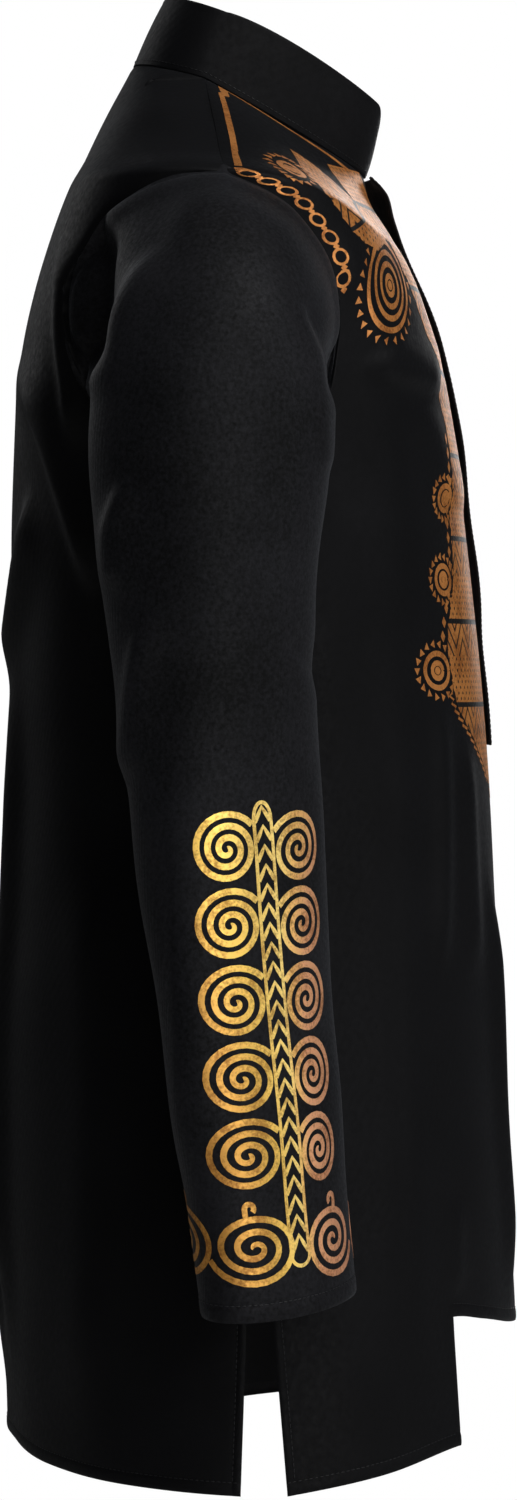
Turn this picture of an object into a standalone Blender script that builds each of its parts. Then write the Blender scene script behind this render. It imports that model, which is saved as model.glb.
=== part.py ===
"""Long-sleeved dashiki shirt with a stand collar, worn with no wearer, built from its cut pieces.

Metres, +Z up. The wearer's front faces -Y and the wearer's right is -X. The origin is the middle of
the neck opening, level with the neck points of the shoulder seams. Every panel lies on one figure
surface made of rings round the body, so panels that are sewn together share their seam line.
"""

import math

import bmesh
import bpy
import numpy as np
from mathutils import Vector

# Cloth and making-up sizes.
WALL = 0.0015
COLLAR_WALL = 0.0020
SEAM_GAP = 0.0003
NECK_SLIT_WIDTH = 0.0012
NECK_SLIT_BOTTOM = -0.355
SHOULDER_TIP_LEVEL = -0.064
UNDERARM_LEVEL = -0.235
SIDE_SLIT_TOP = -0.560
HEM_LEVEL = -0.771
RIGHT_SLIT_HALF_GAP = 0.0125
LEFT_SLIT_HALF_GAP = 0.0008
FLY_HALF_WIDTH = 0.019
FLY_REST = 0.0004
FLY_LIFT_POWER = 1.3
COLLAR_END_HALF_GAP = 0.0015
COLLAR_CORNER_RADIUS = 0.020
COLLAR_HEIGHT = 0.040
COLLAR_SEAM_LIFT = 0.00066
SLEEVE_SEAM_LIFT = 0.0009
SLEEVE_HEAD_CHAMFER = 0.0012
SHARP_EDGE_DEGREES = 40
CUFF_FRONT_LIFT = 0.004

# How finely the panels are cut into flat facets.
CORNER_SHARES = (0.0, 0.06, 0.18, 0.38, 0.65, 1.0)
PANEL_COLUMNS = 14
NECK_COLUMNS = 7
STEP_COLUMN = 8
UPPER_ROWS = 11
SHOULDER_ROW_POWER = 1.35
SIDE_ROWS = 8
SLIT_ROWS = 3
TAIL_ROWS = 2
BACK_SLIT_ROWS = 5
SLEEVE_SIDES = 18
ROWS_PER_STATION = 2
COLLAR_ROWS = 3
FLY_COLUMNS = 4
FLY_ROWS = 14
RING_SAMPLES = 90
SEARCH_STEPS = 40
SLOPE_REACH = 0.004

# Centre back and centre front of the body, seen from the side.
PROFILE_COLUMNS = ("height", "back_y", "front_y")
PROFILE = (
    (0.0127, 0.0667, -0.0640),
    (-0.0158, 0.0802, -0.0646),
    (-0.0500, 0.0960, -0.0656),
    (-0.0614, 0.1015, -0.0675),
    (-0.0900, 0.1120, -0.0821),
    (-0.1180, 0.1203, -0.0958),
    (-0.1470, 0.1268, -0.1055),
    (-0.1750, 0.1313, -0.1123),
    (-0.2320, 0.1345, -0.1197),
    (-0.2890, 0.1357, -0.1265),
    (-0.3460, 0.1357, -0.1322),
    (-0.4030, 0.1345, -0.1362),
    (-0.4600, 0.1362, -0.1391),
    (-0.5170, 0.1402, -0.1425),
    (-0.5740, 0.1414, -0.1442),
    (-0.6310, 0.1408, -0.1476),
    (-0.6880, 0.1385, -0.1505),
    (-0.7800, 0.1375, -0.1545),
)

# The widest line of the body, from the neck point along the shoulder seam and down the side seam.
SIDE_COLUMNS = ("level", "half_width", "side_y", "front_roundness", "back_roundness")
SIDE = (
    (0.000, 0.0720, 0.0250, 2.00, 2.00),
    (-0.016, 0.1078, 0.0221, 2.10, 2.30),
    (-0.032, 0.1435, 0.0192, 2.20, 2.60),
    (-0.050, 0.1837, 0.0160, 2.30, 2.90),
    (-0.064, 0.2150, 0.0134, 2.35, 3.05),
    (-0.085, 0.2155, 0.0134, 2.35, 3.15),
    (-0.130, 0.2140, 0.0132, 2.35, 3.20),
    (-0.180, 0.2110, 0.0110, 2.35, 2.85),
    (-0.235, 0.2070, 0.0080, 2.30, 2.40),
    (-0.320, 0.1990, 0.0030, 2.25, 2.25),
    (-0.420, 0.1960, 0.0000, 2.20, 2.20),
    (-0.520, 0.2020, -0.0012, 2.20, 2.20),
    (-0.620, 0.2110, -0.0035, 2.20, 2.20),
    (-0.700, 0.2170, -0.0060, 2.12, 2.20),
    (-0.780, 0.2210, -0.0080, 2.12, 2.20),
)
NECK_FRONT_DROP = -0.0500
NECK_BACK_RISE = 0.0127

# The armhole seam, seen from the side as (y, z), from the shoulder tip to the underarm.
FRONT_ARMHOLE = (
    (0.0134, -0.0640),
    (-0.0126, -0.0754),
    (-0.0276, -0.0871),
    (-0.0427, -0.1096),
    (-0.0480, -0.1386),
    (-0.0460, -0.1600),
    (-0.0400, -0.1850),
    (-0.0290, -0.2080),
    (-0.0120, -0.2270),
    (0.0080, -0.2350),
)
BACK_ARMHOLE = (
    (0.0134, -0.0640),
    (0.0400, -0.0655),
    (0.0627, -0.0748),
    (0.0816, -0.0894),
    (0.0942, -0.1118),
    (0.0980, -0.1350),
    (0.0940, -0.1600),
    (0.0800, -0.1900),
    (0.0580, -0.2140),
    (0.0330, -0.2300),
    (0.0080, -0.2350),
)

# Where each hem lies, by the share of the way from the centre line to the side seam.
HEM_COLUMNS = ("share", "level")
FRONT_STEP_HEM = (
    (0.00, -0.6995),
    (0.25, -0.6935),
    (0.45, -0.6860),
    (0.57, -0.6820),
    (1.00, -0.6820),
)
FRONT_HEM = ((0.00, -0.7480), (0.57, -0.7520), (0.80, -0.7620), (1.00, HEM_LEVEL))
BACK_HEM = ((0.00, -0.7575), (0.25, -0.7585), (0.50, -0.7640), (1.00, HEM_LEVEL))

# Rings of the sleeve as (outer_x, outer_z, inner_x, inner_z, centre_y, half_depth, turn): its outermost
# and innermost points, its middle, its half depth, and how far its front turns in for each metre forward.
SLEEVE = (
    (0.2600, -0.0860, 0.2092, -0.2385, 0.0165, 0.0612, 0.00),
    (0.2980, -0.1270, 0.2108, -0.2470, 0.0190, 0.0640, 0.00),
    (0.3170, -0.1850, 0.2112, -0.2630, 0.0212, 0.0630, 0.00),
    (0.3200, -0.2450, 0.2112, -0.2900, 0.0215, 0.0585, 0.02),
    (0.3160, -0.3020, 0.2118, -0.3250, 0.0192, 0.0545, 0.08),
    (0.3120, -0.3660, 0.2140, -0.3760, 0.0147, 0.0514, 0.18),
    (0.3110, -0.4300, 0.2155, -0.4330, 0.0096, 0.0502, 0.30),
    (0.3110, -0.4900, 0.2200, -0.4900, 0.0040, 0.0468, 0.40),
    (0.3115, -0.5500, 0.2245, -0.5480, -0.0027, 0.0450, 0.46),
    (0.3113, -0.6100, 0.2297, -0.6040, -0.0095, 0.0425, 0.50),
    (0.3115, -0.6670, 0.2335, -0.6560, -0.0158, 0.0408, 0.50),
)

# The collar's top edge, as one more ring round the neck.
COLLAR_TOP = {
    "half_width": 0.0630,
    "side_y": 0.0130,
    "side_z": 0.0380,
    "front_y": -0.0762,
    "front_z": -0.0112,
    "back_y": 0.0485,
    "back_z": 0.0515,
    "front_bow": 1.25,
}

# How far the fly's free edge stands out from the front, down its length.
FLY_COLUMN_NAMES = ("height", "lift")
FLY = (
    (-0.0500, 0.0030),
    (-0.0560, 0.0075),
    (-0.0620, 0.0095),
    (-0.0757, 0.0062),
    (-0.0900, 0.0032),
    (-0.1180, 0.0014),
    (-0.1470, 0.0018),
    (-0.2040, 0.0026),
    (-0.2890, 0.0022),
    (-0.3180, 0.0010),
    (-0.3460, 0.0006),
    (-0.3720, 0.0012),
)

CLOTH = {"colour": (0.006, 0.006, 0.007, 1.0), "roughness": 0.62, "metallic": 0.0}


def column(table, names, name):
    """One column of a table as an array."""
    return np.array([row[names.index(name)] for row in table])


class Curve:
    """A smooth curve through one column of a table, read by another, that never overshoots."""

    def __init__(self, table, names, key, value):
        places = column(table, names, key)
        values = column(table, names, value)
        order = np.argsort(places)
        self.places = places[order]
        self.values = values[order]
        steps = np.diff(self.places)
        slopes = np.diff(self.values) / steps
        self.tangents = np.empty(len(self.places))
        self.tangents[0] = slopes[0]
        self.tangents[-1] = slopes[-1]
        for i in range(1, len(slopes)):
            before, after = slopes[i - 1], slopes[i]
            same_way = before * after > 0
            self.tangents[i] = 2 * before * after / (before + after) if same_way else 0.0

    def __call__(self, place):
        place = min(max(place, self.places[0]), self.places[-1])
        i = min(int(np.searchsorted(self.places, place, side="right")) - 1, len(self.places) - 2)
        width = self.places[i + 1] - self.places[i]
        t = (place - self.places[i]) / width
        return float(
            self.values[i] * (1 + 2 * t) * (1 - t) ** 2
            + self.values[i + 1] * t * t * (3 - 2 * t)
            + self.tangents[i] * width * t * (1 - t) ** 2
            - self.tangents[i + 1] * width * t * t * (1 - t)
        )


half_width = Curve(SIDE, SIDE_COLUMNS, "level", "half_width")
side_y = Curve(SIDE, SIDE_COLUMNS, "level", "side_y")
front_roundness = Curve(SIDE, SIDE_COLUMNS, "level", "front_roundness")
back_roundness = Curve(SIDE, SIDE_COLUMNS, "level", "back_roundness")
back_profile = Curve(PROFILE, PROFILE_COLUMNS, "height", "back_y")
front_profile = Curve(PROFILE, PROFILE_COLUMNS, "height", "front_y")
fly_lift = Curve(FLY, FLY_COLUMN_NAMES, "height", "lift")


def fade(level, end):
    """1 at the neckline, easing to 0 at the end level, below which every ring is level."""
    t = min(max(level / end, 0.0), 1.0)
    return 1 - t * t * (3 - 2 * t)


def normal_in_plane(curve, place):
    """The outward normal of a profile read by height, as (sideways, up)."""
    rise = curve(place + SLOPE_REACH) - curve(place - SLOPE_REACH)
    slope = rise / (2 * SLOPE_REACH)
    length = math.hypot(1.0, slope)
    return 1 / length, -slope / length


class Half:
    """The front or the back half of the figure."""

    def __init__(self, sign, profile, roundness, neck_change, level_from, armhole):
        self.sign = sign
        self.profile = profile
        self.roundness = roundness
        self.neck_change = neck_change
        self.level_from = level_from
        self.armhole = armhole

    def centre_rise(self, level):
        """How far the ring's centre point stands above its side, less than 0 at the front."""
        return self.neck_change * fade(level, self.level_from)

    def centre_height(self, level):
        return level + self.centre_rise(level)

    def depth(self, level):
        return self.sign * (self.profile(self.centre_height(level)) - side_y(level))

    def tilt(self, level):
        """How the ring's height runs from side to centre: 1 is straight, 2 leaves the side level."""
        return 1 + min(level / SHOULDER_TIP_LEVEL, 1.0)

    def point(self, level, angle, inset=0.0):
        """The figure's point on the ring at a level. The angle is 0 at the side, pi/2 at the centre."""
        across, up = normal_in_plane(half_width, level)
        width = half_width(level) - inset * across
        side_z = level - inset * up
        centre = self.centre_height(level)
        out, rise = normal_in_plane(lambda z: self.sign * self.profile(z), centre)
        depth = self.depth(level) - inset * out
        centre_z = centre - inset * rise
        power = 2 / self.roundness(level)
        share = math.sin(angle) ** power
        x = width * max(math.cos(angle), 0.0) ** power
        z = side_z + (centre_z - side_z) * share ** self.tilt(level)
        return Vector((x, side_y(level) + self.sign * depth * share, z))

    def ring(self, level):
        """Angles round the half ring from the centre to the side, and the length walked to each."""
        angles = np.linspace(math.pi / 2, 0.0, RING_SAMPLES)
        points = [self.point(level, a) for a in angles]
        steps = [(b - a).length for a, b in zip(points, points[1:])]
        return angles, np.concatenate([[0.0], np.cumsum(steps)])

    def angle_at(self, level, share, edge_gap):
        """The angle at a share of the way from the centre line to the panel's side edge."""
        angles, walked = self.ring(level)
        return float(np.interp(share * (walked[-1] - edge_gap), walked, angles))

    def angle_off_side(self, level, gap):
        """The angle of the point this far in front of, or behind, the ring's side."""
        return math.asin((gap / self.depth(level)) ** (self.roundness(level) / 2))

    def chart_of_front_view(self, x, z):
        """(level, angle) of the figure's point that shows at x, z from the front."""
        low, high = 2 * UNDERARM_LEVEL, 0.0
        for _ in range(SEARCH_STEPS):
            level = (low + high) / 2
            rise = self.centre_rise(level) * self.share_at(level, x) ** self.tilt(level)
            inside_shoulder = x > half_width(level) and level > SHOULDER_TIP_LEVEL
            if inside_shoulder or level + rise > z:
                high = level
            else:
                low = level
        share = self.share_at(level, x)
        return level, math.asin(min(share ** (self.roundness(level) / 2), 1.0))

    def share_at(self, level, x):
        n = self.roundness(level)
        return (1 - min(x / half_width(level), 1.0) ** n) ** (1 / n)

    def chart_of_side_view(self, y, z):
        """(level, angle) of the figure's point that shows at y, z from the side."""
        level = z
        for _ in range(SEARCH_STEPS):
            share = min(max(self.sign * (y - side_y(level)) / self.depth(level), 0.0), 1.0)
            level = z - self.centre_rise(level) * share ** self.tilt(level)
        return level, math.asin(share ** (self.roundness(level) / 2))


FRONT = Half(-1, front_profile, front_roundness, NECK_FRONT_DROP, UNDERARM_LEVEL, FRONT_ARMHOLE)
BACK = Half(1, back_profile, back_roundness, NECK_BACK_RISE, SHOULDER_TIP_LEVEL, BACK_ARMHOLE)


def smooth_path(points, samples_per_span=12):
    """A Catmull-Rom curve through points, as many close samples."""
    ends = [points[0] * 2 - points[1], *points, points[-1] * 2 - points[-2]]
    path = []
    for a, b, c, d in zip(ends, ends[1:], ends[2:], ends[3:]):
        for k in range(samples_per_span):
            path.append(catmull(a, b, c, d, k / samples_per_span))
    return [*path, points[-1]]


def catmull(a, b, c, d, t):
    """The point a share t of the way from b to c, on the smooth curve through all four."""
    square = (2 * a - 5 * b + 4 * c - d) * t * t
    cube = (3 * b - a - 3 * c + d) * t**3
    return 0.5 * (2 * b + (c - a) * t + square + cube)


def at_shares(path, shares):
    """The points at these shares of a path's length."""
    steps = [(b - a).length for a, b in zip(path, path[1:])]
    walked = np.concatenate([[0.0], np.cumsum(steps)])
    axes = [np.interp(np.array(shares) * walked[-1], walked, [p[k] for p in path]) for k in range(3)]
    return [Vector(p) for p in zip(*axes)]


def armhole_path(half):
    """The armhole seam on the figure, from the shoulder tip to the underarm."""
    places = smooth_path([Vector((y, z, 0.0)) for y, z in half.armhole])
    return [half.point(*half.chart_of_side_view(p.x, p.y)) for p in places]


def shares(count, power=1.0):
    """Even shares from 0 to 1, or closer together near 0 with a power over 1."""
    return [(k / count) ** power for k in range(count + 1)]


def side_gap(sign, level):
    """How far a panel's side edge lies from the seam line: half a seam gap, or half the open slit."""
    open_gap = RIGHT_SLIT_HALF_GAP if sign < 0 else LEFT_SLIT_HALF_GAP
    opened = min(max((SIDE_SLIT_TOP - level) / (SIDE_SLIT_TOP - HEM_LEVEL), 0.0), 1.0)
    return max(SEAM_GAP / 2, open_gap * opened)


def upper_charts(half):
    """Chart rows of the half panel down to the underarm, blended between its four edges."""
    neck_angles = [half.angle_at(0.0, s, SEAM_GAP / 2) for s in shares(NECK_COLUMNS)]
    neck = [half.point(0.0, a) for a in neck_angles]
    seam_levels = [SHOULDER_TIP_LEVEL * s for s in shares(PANEL_COLUMNS - NECK_COLUMNS)]
    seam = [half.point(level, 0.0) for level in seam_levels]
    top = [Vector((p.x, p.z)) for p in neck[:-1] + seam]
    under_angles = [half.angle_at(UNDERARM_LEVEL, s, SEAM_GAP / 2) for s in shares(PANEL_COLUMNS)]
    under = [(UNDERARM_LEVEL, angle) for angle in under_angles]
    bottom = [Vector((p.x, p.z)) for p in (half.point(*chart) for chart in under)]
    down = shares(UPPER_ROWS, SHOULDER_ROW_POWER)
    right = [Vector((p.x, p.z)) for p in at_shares(armhole_path(half), down)]
    left = [top[0].lerp(bottom[0], t) for t in down]
    edge_angles = [half.angle_off_side(level, SEAM_GAP / 2) for level in seam_levels]
    rows = [[(0.0, a) for a in neck_angles[:-1]] + list(zip(seam_levels, edge_angles))]
    for j, t in list(enumerate(down))[1:-1]:
        row = []
        for i, s in enumerate(shares(PANEL_COLUMNS)):
            corners = (top[0].lerp(top[-1], s)).lerp(bottom[0].lerp(bottom[-1], s), t)
            place = left[j].lerp(right[j], s) + top[i].lerp(bottom[i], t) - corners
            row.append(half.chart_of_front_view(max(place.x, 0.0), place.y))
        rows.append(row)
    return [*rows, under]


def lower_charts(half, sign, hems):
    """Chart rows below the underarm. Each hem is (rows down to it, its shape)."""
    top = [UNDERARM_LEVEL] * (PANEL_COLUMNS + 1)
    rows = []
    for count, shape in hems:
        levels = [shape(s) for s in shares(PANEL_COLUMNS)]
        for j in range(1, count + 1):
            row = []
            for i, s in enumerate(shares(PANEL_COLUMNS)):
                level = top[i] + (levels[i] - top[i]) * j / count
                row.append((level, half.angle_at(level, s, side_gap(sign, level))))
            rows.append(row)
        top = levels
    return rows


def level_line(level):
    return lambda share: level


def hem_line(table):
    return Curve(table, HEM_COLUMNS, "share", "level")


def panel_grid(half, hems):
    """The panel's points, outer and inner, by row and column from the right side to the left."""
    charts = {}
    upper = upper_charts(half)
    for sign in (-1, 1):
        charts[sign] = upper + lower_charts(half, sign, hems)
    layers = []
    for inset in (0.0, WALL):
        layer = []
        for right_row, left_row in zip(charts[-1], charts[1]):
            right = [half.point(level, angle, inset) for level, angle in reversed(right_row)]
            left = [half.point(level, angle, inset) for level, angle in left_row]
            layer.append([Vector((-p.x, p.y, p.z)) for p in right] + left)
        layers.append(layer)
    return layers


def part_at_centre(layer, width):
    """Moves the two middle columns apart to the width of the slit."""
    middle = len(layer[0]) // 2
    for row in layer:
        row[middle - 1].x = -width / 2
        row[middle].x = width / 2


def merge_at_centre(layer):
    """Makes one column of the two that meet at the centre line."""
    middle = len(layer[0]) // 2
    for row in layer:
        del row[middle]
        row[middle - 1].x = 0.0


def cloth_wall(name, outer, inner, left_out=lambda row, strip: False, around=False):
    """A closed wall of cloth: a grid laid on the outer points, then extruded to the inner ones."""
    rows, columns = len(outer) - 1, len(outer[0]) - 1
    bm = bmesh.new()
    bmesh.ops.create_grid(bm, x_segments=columns, y_segments=rows, size=0.5)
    place = {}
    for vert in bm.verts:
        j, i = round((0.5 - vert.co.y) * rows), round((vert.co.x + 0.5) * columns)
        place[vert] = (j, i)
    doomed = []
    for face in bm.faces:
        j = min(place[v][0] for v in face.verts)
        i = min(place[v][1] for v in face.verts)
        if left_out(j, i):
            doomed.append(face)
    bmesh.ops.delete(bm, geom=doomed, context="FACES")
    inside = {}
    for vert in bm.verts:
        j, i = place[vert]
        vert.co = outer[j][i]
        inside[tuple(vert.co)] = inner[j][i]
    if around:
        bmesh.ops.remove_doubles(bm, verts=bm.verts, dist=1e-6)
    sheet = list(bm.faces)
    grown = bmesh.ops.extrude_face_region(bm, geom=sheet, use_keep_orig=False)
    for item in grown["geom"]:
        if isinstance(item, bmesh.types.BMVert):
            item.co = inside[tuple(item.co)]
    bmesh.ops.triangulate(bm, faces=bm.faces)
    bmesh.ops.recalc_face_normals(bm, faces=bm.faces)
    if bm.calc_volume(signed=True) < 0:
        bmesh.ops.reverse_faces(bm, faces=bm.faces)
    mesh = bpy.data.meshes.new(name)
    bm.to_mesh(mesh)
    bm.free()
    mesh.shade_smooth()
    mesh.set_sharp_from_angle(angle=math.radians(SHARP_EDGE_DEGREES))
    piece = bpy.data.objects.new(name, mesh)
    bpy.context.scene.collection.objects.link(piece)
    mesh.materials.append(cloth_material(name))
    return piece


def cloth_material(name):
    """Plain black cloth for one piece."""
    material = bpy.data.materials.new(f"{name}_cloth")
    material.use_nodes = True
    shader = material.node_tree.nodes["Principled BSDF"]
    shader.inputs["Base Color"].default_value = CLOTH["colour"]
    shader.inputs["Roughness"].default_value = CLOTH["roughness"]
    shader.inputs["Metallic"].default_value = CLOTH["metallic"]
    return material


def make_front():
    """The front, with the centre slit under the fly and the stepped hem."""
    hems = (
        (SIDE_ROWS, level_line(SIDE_SLIT_TOP)),
        (SLIT_ROWS, hem_line(FRONT_STEP_HEM)),
        (TAIL_ROWS, hem_line(FRONT_HEM)),
    )
    outer, inner = panel_grid(FRONT, hems)
    for layer in (outer, inner):
        part_at_centre(layer, NECK_SLIT_WIDTH)
    step_row = UPPER_ROWS + SIDE_ROWS + SLIT_ROWS
    middle = PANEL_COLUMNS

    def left_out(row, strip):
        in_slit = strip == middle and outer[row + 1][middle].z > NECK_SLIT_BOTTOM
        in_step = row >= step_row and abs(strip - middle) <= STEP_COLUMN
        return in_slit or in_step

    return cloth_wall("front", outer, inner, left_out)


def make_back():
    """The back, cut on the fold."""
    hems = ((SIDE_ROWS, level_line(SIDE_SLIT_TOP)), (BACK_SLIT_ROWS, hem_line(BACK_HEM)))
    outer, inner = panel_grid(BACK, hems)
    for layer in (outer, inner):
        merge_at_centre(layer)
    return cloth_wall("back", outer, inner)


def armhole_loop():
    """The armhole's points round the sleeve, from the shoulder tip by the front and underarm."""
    half = SLEEVE_SIDES // 2
    front = at_shares(armhole_path(FRONT), shares(half))
    back = at_shares(armhole_path(BACK), shares(half))
    return front + back[-2:0:-1]


def sleeve_ring(row, last):
    """One ring of the right sleeve, in the same order round as the armhole."""
    outer_x, outer_z, inner_x, inner_z, centre_y, half_depth, turn = row
    outer = Vector((outer_x, centre_y, outer_z))
    inner = Vector((inner_x, centre_y, inner_z))
    ring = []
    for k in range(SLEEVE_SIDES):
        angle = 2 * math.pi * k / SLEEVE_SIDES
        point = (outer + inner) / 2 + (outer - inner) / 2 * math.cos(angle)
        point.y -= half_depth * math.sin(angle)
        point.x -= turn * half_depth * math.sin(angle)
        if last:
            point.z += CUFF_FRONT_LIFT * math.sin(angle)
        ring.append(point)
    return ring


def sleeve_layers():
    """Outer and inner points of the right sleeve, by row from the armhole to the cuff."""
    stations = [armhole_loop()]
    stations += [sleeve_ring(row, row is SLEEVE[-1]) for row in SLEEVE]
    lines = []
    for k in range(SLEEVE_SIDES):
        lines.append(smooth_path([ring[k] for ring in stations], ROWS_PER_STATION))
    outer = [[line[j] for line in lines] for j in range(len(lines[0]))]
    for k in range(SLEEVE_SIDES):
        along = (outer[1][k] - outer[0][k]).normalized()
        outer[0][k] = outer[0][k] + along * SLEEVE_SEAM_LIFT
    inner = []
    for j, ring in enumerate(outer):
        below = outer[min(j + 1, len(outer) - 1)]
        above = outer[max(j - 1, 0)]
        row = []
        for k, point in enumerate(ring):
            along = (below[k] - above[k]).normalized()
            around = ring[(k + 1) % SLEEVE_SIDES] - ring[k - 1]
            inward = along.cross(around).normalized()
            middle = sum(ring, Vector()) / SLEEVE_SIDES
            if inward.dot(middle - point) < 0:
                inward.negate()
            chamfer = along * SLEEVE_HEAD_CHAMFER if j == 0 else Vector()
            row.append(point + inward * WALL + chamfer)
        inner.append(row)
    return outer, inner


def make_sleeve(name, sign):
    """A set-in sleeve, a tube from its armhole to its cuff."""
    layers = []
    for layer in sleeve_layers():
        placed = [[Vector((sign * p.x, p.y, p.z)) for p in ring] for ring in layer]
        layers.append([[*ring, ring[0].copy()] for ring in placed])
    return cloth_wall(name, *layers, around=True)


def collar_ring_point(half, angle, height_share, inset):
    """A point of the collar, between the neckline and the collar's top edge."""
    base = half.point(0.0, angle)
    base.x -= inset * math.cos(angle)
    base.y -= inset * math.sin(angle) * half.sign
    share = math.sin(angle)
    end_y = COLLAR_TOP["front_y"] if half is FRONT else COLLAR_TOP["back_y"]
    end_z = COLLAR_TOP["front_z"] if half is FRONT else COLLAR_TOP["back_z"]
    bow = COLLAR_TOP["front_bow"] if half is FRONT else 1.0
    top = Vector(
        (
            (COLLAR_TOP["half_width"] - inset) * math.cos(angle),
            COLLAR_TOP["side_y"] + (end_y - half.sign * inset - COLLAR_TOP["side_y"]) * share,
            COLLAR_TOP["side_z"] + (end_z - COLLAR_TOP["side_z"]) * share**bow,
        )
    )
    gap = COLLAR_SEAM_LIFT / COLLAR_HEIGHT
    return base.lerp(top, gap + (1 - gap) * height_share)


def collar_height_share(from_end):
    """How much of the collar's height stands this far from its front end, with the corner rounded."""
    if from_end >= COLLAR_CORNER_RADIUS:
        return 1.0
    x = 1 - from_end / COLLAR_CORNER_RADIUS
    return 1 - (1 - math.sqrt(1 - x * x)) * COLLAR_CORNER_RADIUS / COLLAR_HEIGHT


def make_collar():
    """The stand collar, one band from its right front end round the back to its left front end."""
    walked_from_end = [COLLAR_CORNER_RADIUS * s for s in CORNER_SHARES]
    angles, walked = FRONT.ring(0.0)
    front = [float(np.interp(COLLAR_END_HALF_GAP + d, walked, angles)) for d in walked_from_end]
    rest_start = walked_from_end[-1] + COLLAR_END_HALF_GAP
    rest = [rest_start + (walked[-1] - rest_start) * s for s in shares(NECK_COLUMNS)[1:]]
    front += [float(np.interp(d, walked, angles)) for d in rest]
    heights = [collar_height_share(d) for d in walked_from_end] + [1.0] * NECK_COLUMNS
    back = [BACK.angle_at(0.0, s, 0.0) for s in shares(NECK_COLUMNS)][-2::-1]
    half = [(FRONT, a, h) for a, h in zip(front, heights)] + [(BACK, a, 1.0) for a in back]
    layers = []
    for inset in (0.0, COLLAR_WALL):
        layer = []
        for v in reversed(shares(COLLAR_ROWS)):
            left = [collar_ring_point(side, a, v * h, inset) for side, a, h in half]
            left[-1].x = 0.0
            right = [Vector((-p.x, p.y, p.z)) for p in left]
            layer.append(right + left[-2::-1])
        layers.append(layer)
    return cloth_wall("collar", *layers)


def make_placket():
    """The fly over the centre slit: flat along its sewn edge, standing off along its free one."""
    top, bottom = FLY[0][0], FLY[-1][0]
    layers = []
    for outward in (SEAM_GAP + WALL, SEAM_GAP):
        layer = []
        for t in shares(FLY_ROWS):
            z = top + (bottom - top) * t
            row = []
            for s in shares(FLY_COLUMNS):
                x = FLY_HALF_WIDTH * (2 * s - 1)
                point = FRONT.point(*FRONT.chart_of_front_view(abs(x), z))
                point.x = x
                point.y -= outward + FLY_REST + fly_lift(z) * (1 - s) ** FLY_LIFT_POWER
                row.append(point)
            layer.append(row)
        layers.append(layer)
    return cloth_wall("placket", *layers)


def main():
    for old in list(bpy.data.objects):
        bpy.data.objects.remove(old)
    make_front()
    make_back()
    make_sleeve("sleeve_right", -1)
    make_sleeve("sleeve_left", 1)
    make_collar()
    make_placket()


if __name__ == "__main__":
    main()
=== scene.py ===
"""Looks of a long-sleeved dashiki shirt with a stand collar, filled out with no wearer in it.

Metres, +Z up. The wearer's front faces -Y and the wearer's right is -X. The origin is the middle of
the neck opening. Each cut panel is one thin shell that lies on the shirt's own figure, with its folds
laid in one by one. The gold foil print, the stitches and the turned hems are pieces of their own.
"""

import logging
import math
from collections.abc import Callable, Sequence
from dataclasses import dataclass, field, replace
from enum import Enum

import bmesh
import bpy
import numpy as np
from mathutils import Matrix, Vector
from mathutils.kdtree import KDTree


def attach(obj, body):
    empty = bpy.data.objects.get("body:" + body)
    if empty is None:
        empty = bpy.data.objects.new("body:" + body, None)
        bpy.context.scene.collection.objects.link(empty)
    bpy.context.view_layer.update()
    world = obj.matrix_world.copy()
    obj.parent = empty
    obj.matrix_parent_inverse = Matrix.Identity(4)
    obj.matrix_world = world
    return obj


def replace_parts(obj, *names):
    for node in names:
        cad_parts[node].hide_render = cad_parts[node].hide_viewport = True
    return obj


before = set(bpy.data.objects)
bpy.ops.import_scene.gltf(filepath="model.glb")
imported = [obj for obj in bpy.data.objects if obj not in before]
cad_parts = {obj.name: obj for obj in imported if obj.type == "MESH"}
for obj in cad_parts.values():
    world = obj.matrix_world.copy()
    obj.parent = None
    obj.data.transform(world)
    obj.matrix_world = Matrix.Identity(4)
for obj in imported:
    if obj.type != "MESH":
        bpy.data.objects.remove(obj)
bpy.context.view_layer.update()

Array = np.ndarray
Table = tuple[tuple[float, ...], ...]
Triple = tuple[float, float, float]
Piece = bpy.types.Object
Tree = bpy.types.NodeTree
Node = bpy.types.Node
Socket = bpy.types.NodeSocket
log = logging.getLogger("dashiki_shirt")

# Cloth and making-up sizes, in metres.
CLOTH = 0.0010
SEAM_GAP = 0.0003
SEAM_ALLOWANCE = 0.0050
UNDER_GAP = 0.0007
NECK_SLIT_WIDTH = 0.0012
NECK_SLIT_BOTTOM = -0.355
SHOULDER_TIP_LEVEL = -0.064
UNDERARM_LEVEL = -0.235
SIDE_SLIT_TOP = -0.560
HEM_LEVEL = -0.771
RIGHT_SLIT_HALF_GAP = 0.0125
LEFT_SLIT_HALF_GAP = 0.0008
SLIT_LENGTH = SIDE_SLIT_TOP - HEM_LEVEL
LEFT_SLIT_SWAY = 0.017
SWAY_SHARE = 0.7
SWAY_REACH = 0.1
HEM_DEPTH = 0.0080
CUFF_HEM_DEPTH = 0.0100
SLIT_HEM_DEPTH = 0.0055
HEM_STITCH_INSET = 0.0008
SLIT_STITCH_INSET = 0.0048
SLIT_STITCH_END = 6
COLLAR_STITCH_INSET = 0.0026
FLY_STITCH_INSET = 0.0021
SIDE_RING_ANGLES = 240
ARMHOLE_SAMPLES = 12
FOLD_SAMPLES = 5
FOLD_TAPER = 0.25
TINY = 1e-6
WAVES_PER_SCALE = 20
NEWTON_STEPS = 3
EDGE_ROUNDING = 0.35
LEVEL_SEARCH_STEPS = 36
LOWEST_LEVEL = 3.4 * UNDERARM_LEVEL

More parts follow.
